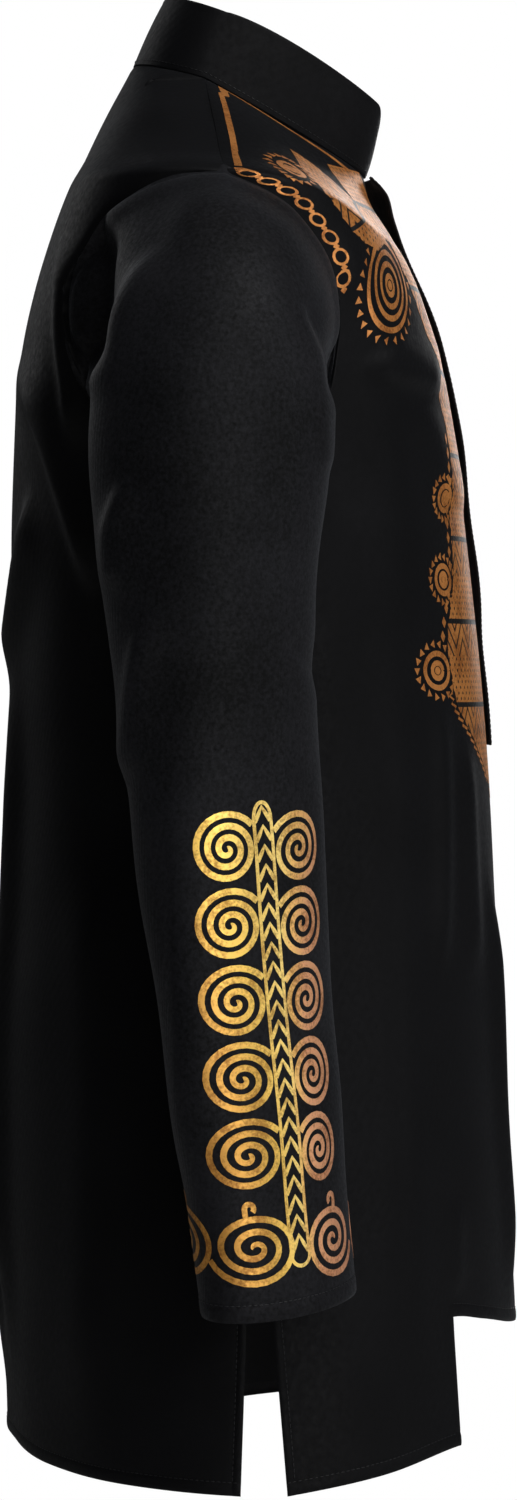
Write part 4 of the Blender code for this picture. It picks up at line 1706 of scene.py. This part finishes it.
@dataclass
class SleevePrint:
    """The foil on a sleeve: a chevron stem with spirals on both sides, over a row round the cuff.

    Flat places are (arc ahead of the stem, height above the cuff), so both sleeves share one layout.
    """

    sleeve: Sleeve
    stem_angle: float = 21.0
    stem_halves: tuple[float, float] = (0.0062, 0.0054)
    stem_ends: tuple[float, float] = (0.0315, 0.2590)
    cap_rises: tuple[float, float] = (-0.0055, 0.0090)
    line: float = 0.0020
    chevron_pitch: float = 0.01017
    chevron_slope: float = 1.6
    chevron_stroke: float = 0.0023
    chevron_ends: tuple[float, float] = (0.0080, 0.0066)
    paired: Spiral = Spiral(0.0060, 0.0034, 3.15, 37.0)
    pair_pitch: float = 0.0399
    lowest_pair: float = 0.0863
    pairs: int = 5
    back_squeeze: tuple[float, float] = (1.25, 0.99)
    front_squeeze: tuple[float, float] = (0.89, 1.18)
    front_drops: tuple[float, float] = (0.0028, 0.0050)
    base: Spiral = Spiral(0.00654, 0.0034, 3.0, 198.0)
    base_squeezes: tuple[float, float] = (1.33, 1.14)
    base_height: float = 0.0369
    base_tilt: float = 0.063
    base_arcs: Triple = (0.0272, 0.0740, 0.1190)
    hook_foot: Table = ((0.0030, 0.0150), (0.0035, 0.0180))
    hook_middle: tuple[float, float] = (0.0011, 0.0206)
    hook_radius: float = 0.0025
    hook_share: float = 0.85

    def flat_map(self) -> FlatMap:
        """Measures the sleeve by arc ahead of the stem and height above the cuff.

        Returns:
            The map.
        """
        surface = self.sleeve.surface
        walked = lengths_along(surface.points)
        up = walked[-1] - walked
        across = lengths_across(surface.points)
        columns = np.arange(surface.points.shape[1])
        ahead_column = self.sleeve.column_of(math.radians(self.stem_angle))
        stem = np.array([np.interp(ahead_column, columns, row) for row in across])
        arc = (across - stem[:, None]) * self.sleeve.forward
        girth = across[:, -1:]
        # The seam of the map lies at the back of the sleeve's inner side, clear of the print.
        arc = np.where(arc > girth / 2, arc - girth, np.where(arc < -girth / 2, arc + girth, arc))
        split = int(np.argmin(arc.mean(axis=0) * self.sleeve.forward))
        order = np.concatenate([np.arange(split, len(columns) - 1), np.arange(0, split)])
        return FlatMap(surface.part(slice(None), order), arc[:, order], up[:, order])

    def draw_stem(self, foil: FoilPrint) -> None:
        """Adds the stem's outline and the chevrons in it.

        Args:
            foil: The print that gets them.
        """
        low, high = self.stem_ends
        heights = np.linspace(low, high, 60)
        for side in (-1, 1):
            foil.ribbon(np.stack([side * self.half_at(heights), heights], axis=-1), self.line)
        arch = np.linspace(0, math.pi, 14)
        for end, rise in zip((high, low), reversed(self.cap_rises)):
            cap = np.stack([self.half_at(end) * np.cos(arch), end + rise * np.sin(arch)], axis=-1)
            foil.ribbon(cap, self.line)
        peak = high + self.chevron_ends[1]
        while peak > low + self.chevron_ends[0]:
            across = np.linspace(-1, 1, 5) * (self.half_at(peak) - self.line * 0.3)
            down = np.abs(across) * self.chevron_slope
            foil.ribbon(np.stack([across, peak - down], axis=-1), self.chevron_stroke)
            peak -= self.chevron_pitch

    def draw_pairs(self, foil: FoilPrint) -> None:
        """Adds the spirals on both sides of the stem.

        Args:
            foil: The print that gets them.
        """
        shape = self.paired
        reach = shape.turns * shape.pitch * math.cos(math.radians(shape.end))
        for k in range(self.pairs):
            height = self.lowest_pair + k * self.pair_pitch
            share = k / (self.pairs - 1)
            for side, squeezes, drops in (
                (-1, self.back_squeeze, (0.0, 0.0)),
                (1, self.front_squeeze, self.front_drops),
            ):
                wide, drop = (first + (last - first) * share for first, last in (squeezes, drops))
                across = self.half_at(height) + reach * wide + shape.stroke * 0.4
                foil.spiral((side * across, height - drop), shape, side, wide)

    def draw_base(self, foil: FoilPrint) -> None:
        """Adds the row of spirals round the cuff, each with its hook.

        Args:
            foil: The print that gets them.
        """
        curl = np.linspace(0, 1.25 * math.pi, 14)
        hook = np.stack([np.cos(curl), np.sin(curl)], axis=-1) * self.hook_radius + np.array(self.hook_middle)
        hook = np.concatenate([self.hook_foot, hook])
        for arc in self.base_arcs:
            for side, wide in zip((-1, 1), self.base_squeezes):
                middle = np.array([side * arc, self.base_height - self.base_tilt * side * arc])
                foil.spiral(middle, self.base, side, wide)
                foil.ribbon(middle + hook * np.array([side, 1.0]), self.base.stroke * self.hook_share)

    def build(self) -> Piece:
        """Draws the print and lays it on the sleeve.

        Returns:
            The piece.
        """
        foil = FoilPrint(f"{self.sleeve.name}_foil", self.flat_map())
        self.draw_stem(foil)
        self.draw_pairs(foil)
        self.draw_base(foil)
        return foil.build()

    def half_at(self, height: Array | float) -> Array:
        """Half the width of the stem, which spreads a little toward the cuff."""
        (low, high), (wide, narrow) = self.stem_ends, self.stem_halves
        return wide + (narrow - wide) * (height - low) / (high - low)


def scallop(place: float, height: float, length: float) -> float:
    """How far a scalloped edge stands out at a place along it."""
    return height * abs(math.sin(place * math.pi / length))


@dataclass
class ChestPrint:
    """The foil on the chest: piping along the seams, a lattice beside the fly, and ringed roundels.

    It is a plain geometric layout of rings, diamonds, triangles and zigzags, the same on both sides.
    """

    panel: Panel
    inner_edge: float = 0.0205
    piping: float = 0.0036
    neck_off: float = 0.0115
    shoulder_off: float = 0.0085
    corner: tuple[float, float] = (0.148, 0.154)
    chain_inset: float = 0.0075
    chain_pitch: float = 0.0120
    chain_links: int = 8
    yoke_edge: Table = (
        (0.030, 0.058), (0.034, 0.038), (0.040, 0.026), (0.062, 0.026), (0.072, 0.030), (0.084, 0.050),
    )
    yoke_inner: float = 0.098
    armhole_roundels: Table = ((0.0570, 0.1040, 0.0245, 1.40), (0.0420, 0.0220, 0.0062, 2.10))
    lattice: Table = (
        (-0.4020, 0.0235), (-0.3900, 0.0440), (-0.3700, 0.0820), (-0.3450, 0.1130), (-0.3150, 0.1180),
        (-0.2700, 0.1000), (-0.2000, 0.0980), (-0.1600, 0.1010), (-0.1250, 0.1080), (-0.0980, 0.1180),
        (-0.0790, 0.1200), (-0.0600, 0.0960), (-0.0480, 0.0740),
    )
    roundels: Table = (
        (0.1330, -0.3300, 0.0105, 1.30),
        (0.1190, -0.2800, 0.0085, 1.30),
        (0.1110, -0.2350, 0.0075, 1.30),
    )
    lattice_film: float = 0.00006
    lattice_rows: int = 190
    lattice_columns: int = 26
    lattice_scallop: tuple[float, float] = (0.0016, 0.0115)
    yoke_rows: int = 40
    yoke_columns: int = 36
    yoke_scallop: tuple[float, float] = (0.0014, 0.0095)
    rows_below_armhole: int = 60
    piping_points: int = 190
    piping_ends: tuple[float, float] = (0.001, 0.006)
    neck_piping_share: float = 1.6
    piping_swell: Triple = (0.7, 0.118, 0.014)
    chain_ring: tuple[float, float] = (0.0042, 0.0016)
    chain_diamond: float = 0.0021
    ring_pitch: float = 0.0068
    ring_stroke: float = 0.0031
    dot_share: float = 0.42
    ray_off: float = 0.0042
    ray: float = 0.0026
    diamonds: int = 15
    diamond: float = 0.0032
    diamond_squeeze: float = 0.8
    diamond_top: float = -0.2020
    diamond_pitch: float = 0.0078
    diamond_off: float = 0.0070
    zigzag_ends: tuple[float, float] = (-0.342, -0.392)
    zigzag_points: int = 26
    zigzag_off: float = 0.0062
    zigzag_half: float = 0.0022
    zigzag_stroke: float = 0.0017

    def upper(self, below_armhole: int = 0) -> Surface:
        """The panel's cloth down to its underarm, or some rows further."""
        return self.panel.surface.part(slice(self.panel.upper_rows + below_armhole))

    def front_map(self) -> FlatMap:
        """Measures the chest as it shows from the front."""
        upper = self.upper(self.rows_below_armhole)
        return FlatMap(upper, upper.points[..., 0], upper.points[..., 2])

    def seam_map(self) -> FlatMap:
        """Measures the panel along its rows from the centre, and down from the neck and shoulder seams.

        Returns:
            The map.
        """
        upper = self.upper()
        uv = cloth_uv(upper)
        return FlatMap(upper, uv[..., 0] * np.sign(upper.points[0, -1, 0]), uv[..., 1])

    def armhole_map(self, side: Side) -> FlatMap:
        """Measures the panel inwards from an armhole's edge, and along the edge from the shoulder.

        Args:
            side: Whose armhole.

        Returns:
            The map.
        """
        upper = self.upper()
        across = lengths_across(upper.points)
        at_end = upper.points[0, -1, 0] * side.value > 0
        inward = across[:, -1:] - across if at_end else across
        edge = lengths_along(upper.points[:, -1 if at_end else 0][:, None])
        return FlatMap(upper, inward, np.broadcast_to(edge, inward.shape))

    def band(self, side: Side) -> Piece:
        """The lattice beside the fly, a filled strip whose outer edge swells and tapers.

        Args:
            side: Which of the wearer's sides.

        Returns:
            The piece.
        """
        foil = FoilPrint(f"chest_lattice_{side.name.lower()}", self.front_map(), film=self.lattice_film)
        edge, top, bottom = Curve(self.lattice, 1), self.lattice[-1][0], self.lattice[0][0]

        def place(down: float, across: float) -> tuple[float, float]:
            """The flat place of a corner.

            Args:
                down: Its share of the way down.
                across: Its share of the way across.

            Returns:
                The place.
            """
            z = top + (bottom - top) * down
            outer = float(edge(np.array(z))) + scallop(z, *self.lattice_scallop)
            return side.value * (self.inner_edge + (outer - self.inner_edge) * across), z

        foil.strip(self.lattice_rows, self.lattice_columns, place)
        return foil.build()

    def yoke(self, side: Side) -> Piece:
        """The lattice's upper part, a filled strip beside the armhole.

        Args:
            side: Which of the wearer's sides.

        Returns:
            The piece.
        """
        name = f"chest_lattice_yoke_{side.name.lower()}"
        foil = FoilPrint(name, self.armhole_map(side), film=self.lattice_film)
        edge, top, bottom = Curve(self.yoke_edge, 1), self.yoke_edge[0][0], self.yoke_edge[-1][0]

        def place(down: float, across: float) -> tuple[float, float]:
            """The flat place of a corner.

            Args:
                down: Its share of the way down.
                across: Its share of the way across.

            Returns:
                The place.
            """
            along = top + (bottom - top) * down
            outer = float(edge(np.array(along))) + scallop(along, *self.yoke_scallop)
            return outer + (self.yoke_inner - outer) * across, along

        foil.strip(self.yoke_rows, self.yoke_columns, place)
        return foil.build()

    def piping_foil(self) -> Piece:
        """Piping round the neck seam and along the shoulder seams.

        Returns:
            The piece.
        """
        seam = self.seam_map()
        foil = FoilPrint("chest_piping", seam)
        (from_fly, from_tip), (rise, middle, reach) = self.piping_ends, self.piping_swell
        ends = (self.inner_edge + from_fly, seam.across[0].max() - from_tip)
        across = np.linspace(*ends, self.piping_points)
        swell = np.where(across < self.corner[0], self.neck_piping_share, 1.0)
        swell = swell + rise * np.exp(-(((across - middle) / reach) ** 2))
        down = np.interp(across, self.corner, (-self.neck_off, -self.shoulder_off))
        for side in (-1, 1):
            foil.ribbon(np.stack([side * across, down], axis=-1), self.piping * swell)
        return foil.build()

    def armhole_motifs(self, side: Side) -> Piece:
        """Rings and diamonds in turn along the front of an armhole, and the roundels beside it.

        Args:
            side: Whose armhole.

        Returns:
            The piece.
        """
        foil = FoilPrint(f"chest_chain_{side.name.lower()}", self.armhole_map(side))
        for k in range(self.chain_links):
            along = self.chain_pitch * (k + 0.5)
            foil.ring((self.chain_inset, along), *self.chain_ring)
            foil.polygon((self.chain_inset, along + self.chain_pitch / 2), self.chain_diamond, 4)
        for inward, along, radius, squeeze in self.armhole_roundels:
            self.roundel(foil, (inward, along), radius, squeeze)
        return foil.build()

    def roundel(self, foil: FoilPrint, middle: tuple[float, float], radius: float, squeeze: float) -> None:
        """Adds rings round a dot, with triangles round the outermost.

        Args:
            foil: The print that gets them.
            middle: Their flat middle.
            radius: The outermost ring's radius.
            squeeze: How many times wider than high they are.
        """
        rings = max(2, round(radius / self.ring_pitch))
        for k in range(rings):
            foil.ring(middle, radius * (k + 0.8) / rings, self.ring_stroke, squeeze)
        foil.polygon(middle, radius * self.dot_share / rings, 12, squeeze=squeeze)
        rays, out = 10 + 4 * rings, radius + self.ray_off
        for angle in 2 * math.pi * np.arange(rays) / rays:
            spot = (middle[0] + out * squeeze * math.cos(angle), middle[1] + out * math.sin(angle))
            foil.polygon(spot, self.ray, 3, angle)

    def motifs(self) -> Piece:
        """The roundels, and the row of diamonds and the zigzag outside the lattice.

        Returns:
            The piece.
        """
        foil = FoilPrint("chest_motifs", self.front_map())
        edge = Curve(self.lattice, 1)
        for side in (-1, 1):
            for x, z, radius, squeeze in self.roundels:
                self.roundel(foil, (side * x, z), radius, squeeze)
            for k in range(self.diamonds):
                z = self.diamond_top - self.diamond_pitch * k
                x = float(edge(np.array(z))) + self.diamond_off
                foil.polygon((side * x, z), self.diamond, 4, squeeze=self.diamond_squeeze)
            z = np.linspace(*self.zigzag_ends, self.zigzag_points)
            turns = np.where(np.arange(self.zigzag_points) % 2, 1.0, -1.0)
            x = edge(z) + self.zigzag_off + self.zigzag_half * turns
            foil.ribbon(np.stack([side * x, z], axis=-1), self.zigzag_stroke)
        return foil.build()

    def build(self) -> list[Piece]:
        """Makes the chest's foil pieces."""
        whole = [self.piping_foil(), self.motifs()]
        return whole + [make(side) for side in Side for make in (self.armhole_motifs, self.yoke, self.band)]


# The soft boxes, as (name, place, width, height, watts).
SOFTBOXES: tuple[tuple[str, Triple, float, float, float], ...] = (
    ("low_side_softbox", (-3.0, -1.2, -0.3), 1.2, 1.6, 27.0),
    ("high_side_softbox", (-3.0, -0.4, 1.3), 1.2, 1.2, 21.0),
    ("front_softbox", (-0.8, -3.1, 0.3), 1.2, 1.8, 15.0),
    ("overhead_front_softbox", (-1.2, -1.6, 2.2), 1.2, 1.2, 50.0),
    ("overhead_softbox", (-0.3, 0.2, 2.3), 1.2, 1.2, 5.0),
    ("left_softbox", (3.0, -0.5, 0.6), 1.4, 1.8, 30.0),
    ("back_softbox", (2.9, 2.0, 0.9), 1.4, 1.6, 8.0),
)


@dataclass
class Stage:
    """The floor, the soft studio lights and the camera."""

    eye: Triple = (-3.4, -0.0048, -0.335)
    target: Triple = (0.0, -0.0048, -0.375)
    lit: Triple = (0.0, 0.0, -0.36)
    lens: float = 143.2
    paper: str = "#F4F4F2"
    paper_glow: float = 0.6
    floor_level: float = -1.5
    floor_radius: float = 4.6
    room_light: float = 0.006

    def build(self) -> None:
        """Makes the stage."""
        scene = bpy.context.scene
        data = bpy.data.cameras.new("camera")
        data.lens, data.sensor_width, data.clip_end = self.lens, 36.0, 50.0
        scene.camera = self.aim(data, self.eye, self.target)
        self.floor()
        for name, place, width, height, power in SOFTBOXES:
            box = bpy.data.lights.new(name, "AREA")
            box.shape = "RECTANGLE"
            box.size, box.size_y, box.energy = width, height, power
            self.aim(box, place, self.lit)
        scene.view_settings.view_transform = "Standard"
        scene.view_settings.look = "None"
        self.world(scene)

    def aim(self, data: bpy.types.ID, place: Triple, target: Triple) -> Piece:
        """Puts a camera or a light in the scene.

        Args:
            data: The camera or the light.
            place: Where it stands.
            target: What it faces.

        Returns:
            Its object.
        """
        made = bpy.data.objects.new(data.name, data)
        made.location = place
        made.rotation_euler = (Vector(target) - Vector(place)).to_track_quat("-Z", "Y").to_euler()
        bpy.context.scene.collection.objects.link(made)
        return made

    def floor(self) -> None:
        """Lays a round of matt white paper far below the shirt."""
        bm = bmesh.new()
        bmesh.ops.create_circle(bm, cap_ends=True, segments=96, radius=self.floor_radius)
        bmesh.ops.translate(bm, verts=bm.verts[:], vec=(0, 0, self.floor_level))
        floor = link("floor", bm)
        material, tree, shader = new_material("matt_white_paper")
        seen = add(tree, "ShaderNodeLightPath").outputs["Is Camera Ray"]
        paper, glow = linear(self.paper), calc(tree, "MULTIPLY", seen, self.paper_glow)
        finish = {"Base Color": paper, "Roughness": 0.9, "Specular IOR Level": 0.1}
        set_all(tree, shader, finish | {"Emission Color": paper, "Emission Strength": glow})
        floor.data.materials.append(material)

    def world(self, scene: bpy.types.Scene) -> None:
        """A white room that is seen as white, and lights the shirt only softly.

        Args:
            scene: The scene that gets it.
        """
        world = bpy.data.worlds.new("white_room")
        scene.world = world
        world.use_nodes = True
        tree = world.node_tree
        tree.nodes.clear()
        white = linear("#FFFFFF")
        room, seen = (
            add(tree, "ShaderNodeBackground", inputs={"Color": white, "Strength": strength}).outputs[0]
            for strength in (self.room_light, 1.0)
        )
        path = add(tree, "ShaderNodeLightPath").outputs["Is Camera Ray"]
        both = add(tree, "ShaderNodeMixShader", inputs={0: path, 1: room, 2: seen})
        add(tree, "ShaderNodeOutputWorld", inputs={"Surface": both.outputs[0]})


def dress(piece: Piece, material: bpy.types.Material) -> Piece:
    """Gives a piece its finish, and makes it move with the shirt.

    Args:
        piece: The piece.
        material: Its finish.

    Returns:
        The piece.
    """
    piece.data.materials.append(material)
    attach(piece, "root")
    log.info("%s: %d faces, %s", piece.name, len(piece.data.polygons), material.name)
    return piece


FRONT_DRAPE = Drape(
    (
        # Chest pull
        *Fold(
            ((-0.0440, -0.088), (-0.0610, -0.128), (-0.0690, -0.150), (-0.0740, -0.172)),
            0.0070, 0.0040, 0.014,
        ).pair(0.006, -0.014, 0.8),
        # Chest swell
        *Fold(
            ((-0.0620, -0.158), (-0.0720, -0.166), (-0.0880, -0.1690), (-0.1080, -0.171)),
            0.0070, 0.0060, 0.018,
        ).pair(0.004, -0.020, 0.8),
        Fold(((-0.0900, -0.182), (-0.1080, -0.222), (-0.1100, -0.245)), 0.008, 0.0034, 0.012),
        Fold(((-0.030, -0.150), (-0.056, -0.215), (-0.074, -0.262)), 0.013, -0.0022),
        # Fly ridge
        *Fold(
            ((-0.1037, -0.335), (-0.1050, -0.420), (-0.1030, -0.505)), 0.0055, 0.0036
        ).pair(0.004, -0.035, 1.1),
        # Edge ridge
        *Fold(
            ((-0.1180, -0.362), (-0.1217, -0.445), (-0.1255, -0.506)), 0.0050, 0.0036
        ).pair(-0.002, 0.030, 0.8),
        Fold(((-0.1121, -0.618), (-0.1135, -0.672)), 0.005, 0.0018),
        # Front flare
        *Fold(((-0.074, -0.300), (-0.080, -0.550), (-0.088, -0.760)), 0.016, 0.0050).pair(0.010, 0.0, 1.2),
        Fold(((0.075, -0.400), (0.068, -0.540), (0.078, -0.720)), 0.015, 0.0062, view=View.FRONT),
        Fold(((-0.060, -0.430), (-0.064, -0.560), (-0.058, -0.700)), 0.015, 0.0056, view=View.FRONT),
    ),
    seed=3,
)
BACK_DRAPE = Drape(
    (
        # Blade ridge
        *Fold(
            ((0.1010, -0.090), (0.1010, -0.145), (0.0970, -0.178), (0.0920, -0.215)), 0.0042, 0.0046, 0.009
        ).pair(0.004, -0.018, 0.9),
        # Waist pull
        *Fold(
            ((0.1276, -0.153), (0.1198, -0.179), (0.1115, -0.199), (0.1000, -0.232), (0.0810, -0.295)),
            0.0055, 0.0058, 0.014,
        ).pair(-0.003, 0.012, 0.85),
        # Back flare
        *Fold(((0.088, -0.400), (0.082, -0.560), (0.090, -0.770)), 0.018, 0.0055).pair(0.006, 0.0, 1.1),
        Fold(((0.020, -0.150), (0.030, -0.300), (0.022, -0.430)), 0.016, -0.0060, view=View.FRONT),
        Fold(((0.085, -0.330), (0.070, -0.500), (0.078, -0.730)), 0.016, 0.0075, view=View.FRONT),
        Fold(((-0.070, -0.300), (-0.055, -0.470), (-0.066, -0.740)), 0.017, 0.0080, view=View.FRONT),
        Fold(((-0.010, -0.480), (0.004, -0.620), (-0.004, -0.750)), 0.014, 0.0060, view=View.FRONT),
        Fold(((0.120, -0.200), (0.060, -0.270), (0.010, -0.300)), 0.010, 0.0060, 0.02, View.FRONT),
        Fold(((-0.125, -0.230), (-0.070, -0.290), (-0.020, -0.330)), 0.010, 0.0062, 0.02, View.FRONT),
    ),
    seed=5,
)
SLEEVE_DRAPE = Drape(
    (
        # Back hollow
        *Fold(
            ((0.0760, -0.082), (0.0834, -0.099), (0.0866, -0.128), (0.0860, -0.150), (0.0885, -0.180)),
            0.0060, -0.0150, 0.010,
        ).pair(-0.003, -0.006, 0.8),
        # Cap ridge
        *Fold(
            ((0.0420, -0.104), (0.0566, -0.123), (0.0685, -0.144), (0.0799, -0.168), (0.0835, -0.192)),
            0.0060, 0.0044, 0.010,
        ).pair(-0.004, -0.006, 0.9),
        # Inner ridge
        *Fold(
            ((-0.0362, -0.184), (-0.0385, -0.205), (-0.0403, -0.228)), 0.0036, 0.0020, 0.006
        ).pair(0.002, -0.010, 0.9),
        # Inner crease
        *Fold(
            ((-0.0290, -0.130), (-0.0405, -0.1560), (-0.0440, -0.1660), (-0.0470, -0.195)),
            0.0042, -0.0040, 0.006,
        ).pair(0.003, -0.016, 1.0),
        Fold(((-0.0450, -0.176), (-0.0500, -0.192), (-0.0480, -0.222)), 0.0050, 0.0016),
        # Elbow kink
        *Fold(
            ((-0.018, -0.310), (-0.032, -0.325), (-0.046, -0.346)), 0.0050, -0.0022, 0.009
        ).pair(0.004, 0.018, 0.9),
        # Upper fold
        *Fold(
            ((0.060, -0.228), (0.0690, -0.2485), (0.0721, -0.2625), (0.0690, -0.292)), 0.0058, 0.0046, 0.009
        ).pair(0.0, -0.020, 0.9),
        # Elbow fold
        *Fold(
            ((0.050, -0.298), (0.0550, -0.3153), (0.0602, -0.3433), (0.0645, -0.395)), 0.0060, 0.0048, 0.010
        ).pair(-0.004, 0.016, 1.1),
        # Forearm ridge
        *Fold(
            ((0.0400, -0.380), (0.0375, -0.440), (0.0328, -0.583), (0.0250, -0.612)), 0.0060, 0.0030, 0.018
        ).pair(0.004, 0.0, 0.9),
        Fold(((0.028, -0.058), (0.046, -0.088), (0.054, -0.135)), 0.010, -0.0016),
    ),
    seed=8,
)


def rows_at(distances: Array, wanted: float, columns: Array) -> Array:
    """Finds a line that runs a distance from an edge.

    Args:
        distances: How far each point of the grid lies above its column's edge.
        wanted: The line's distance.
        columns: The columns that it crosses.

    Returns:
        The line's place down each column.
    """
    numbers = np.arange(len(distances))[::-1]
    return np.array([np.interp(wanted, distances[::-1, c], numbers) for c in columns])


def sew_hems(thread: StitchRows, panel: Panel) -> None:
    """Sews a panel's hem, the step in it, and both of its side slits.

    Args:
        thread: The rows that get the stitches.
        panel: The panel.
    """
    surface, middle = panel.surface, len(panel.shares) - 1
    columns = np.arange(surface.points.shape[1])
    stepped = panel.in_step() if len(panel.hems) > 1 else np.zeros(len(columns), bool)
    plain = ~stepped
    hem = panel.distance_down(-1)
    lines = [(hem, columns[plain & (columns < middle)]), (hem, columns[plain & (columns > middle)])]
    if stepped.any():
        lines.append((panel.distance_down(panel.step_row), columns[stepped]))
    for above, crossed in lines:
        thread.row(surface, rows_at(above, HEM_DEPTH - HEM_STITCH_INSET, crossed), crossed.astype(float))
    inward = panel.distance_in()
    rows = np.where(surface.points[:, 0, 2] < SIDE_SLIT_TOP)[0][:-SLIT_STITCH_END]
    for half in (columns[:middle], columns[middle:][::-1]):
        line = [np.interp(SLIT_STITCH_INSET, inward[r, half], half.astype(float)) for r in rows]
        thread.row(surface, rows.astype(float), np.array(line))


def add_stitches(panels: Sequence[Panel], sleeves: Sequence[Sleeve], collar: Collar, fly: Fly) -> list[Piece]:
    """Sews the hems, slits, cuffs, collar and fly.

    Args:
        panels: The front and the back.
        sleeves: Both sleeves.
        collar: The collar.
        fly: The fly.

    Returns:
        The pieces of thread.
    """
    hems, cuffs, trim = (StitchRows(f"{place}_stitches") for place in ("hem", "cuff", "collar_and_fly"))
    for panel in panels:
        sew_hems(hems, panel)
    for sleeve in sleeves:
        walked = lengths_along(sleeve.surface.points)
        columns = np.arange(walked.shape[1])
        line = rows_at(walked[-1] - walked, CUFF_HEM_DEPTH - HEM_STITCH_INSET, columns)
        cuffs.row(sleeve.surface, line, columns.astype(float))
    count = collar.surface.points.shape[1]
    row = (1 - COLLAR_STITCH_INSET / collar.height) * collar.rows
    trim.row(collar.surface, np.full(count, row), np.arange(count).astype(float))
    across = lengths_across(fly.surface.points)[:-1]
    numbers = np.arange(across.shape[1]).astype(float)
    for place in (FLY_STITCH_INSET, 2 * fly.half_width - FLY_STITCH_INSET):
        line = np.array([np.interp(place, row, numbers) for row in across])
        trim.row(fly.surface, np.arange(len(across)).astype(float), line)
    return [hems.build(), cuffs.build(), trim.build()]


def main() -> None:
    """Builds the shirt and its stage."""
    logging.basicConfig(level=logging.INFO, format="%(name)s: %(message)s")
    Stage().build()
    front = Panel("front_panel", FRONT, (FRONT_STEP_HEM, FRONT_HEM), FRONT_DRAPE, split=True)
    back = Panel("back_panel", BACK, (BACK_HEM,), BACK_DRAPE, split=False, slit_rows=34)
    sleeves = [Sleeve(f"{side.name.lower()}_sleeve", side, (front, back), SLEEVE_DRAPE) for side in Side]
    collar, fly = Collar(), Fly()
    body = BlackShirting("brushed_polyester_shirting").make()
    napped = BlackShirting(
        "brushed_polyester_sleeve", pale="#1A1A1D", nap_mm=1.1, nap_share=1.5, relief=0.6, bloom=0.16
    ).make()
    faced = BlackShirting("faced_collar_shirting", pale="#0D0D0F", bloom=0.11).make()
    # Each cut piece with its solid, its cloth, its flat size and cut area, and how it is held.
    cuts = (
        (front, "front", body, (0.62, 0.78), 0.40, "hung"),
        (back, "back", body, (0.62, 0.79), 0.42, "hung"),
        (sleeves[0], "sleeve_right", napped, (0.44, 0.62), 0.20, "hung"),
        (sleeves[1], "sleeve_left", napped, (0.44, 0.62), 0.20, "hung"),
        (collar, "collar", faced, (0.43, 0.045), None, "folded"),
        (fly, "placket", faced, (0.04, 0.33), None, "hung"),
    )
    for piece, node, cloth, flat, area, held in cuts:
        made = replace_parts(dress(piece.build(), cloth), node)
    # The sleeves' foil has a painted highlight and a painted copper reflection in its tint.
    gold = GoldFoil("pressed_gold_foil").make()
    copper = ((-100.0, "#D8904E"), (100.0, "#D8904E"))
    chest_gold = GoldFoil("pressed_copper_gold_foil", copper).make()
    lattice_gold = PatternedFoil("pressed_lattice_foil", copper).make()
    for sleeve in sleeves:
        dress(SleevePrint(sleeve).build(), gold)
    for piece in ChestPrint(front).build():
        dress(piece, lattice_gold if "lattice" in piece.name else chest_gold)
    thread = PolyesterThread().make()
    for piece in add_stitches((front, back), sleeves, collar, fly):
        dress(piece, thread)


if __name__ == "__main__":
    main()
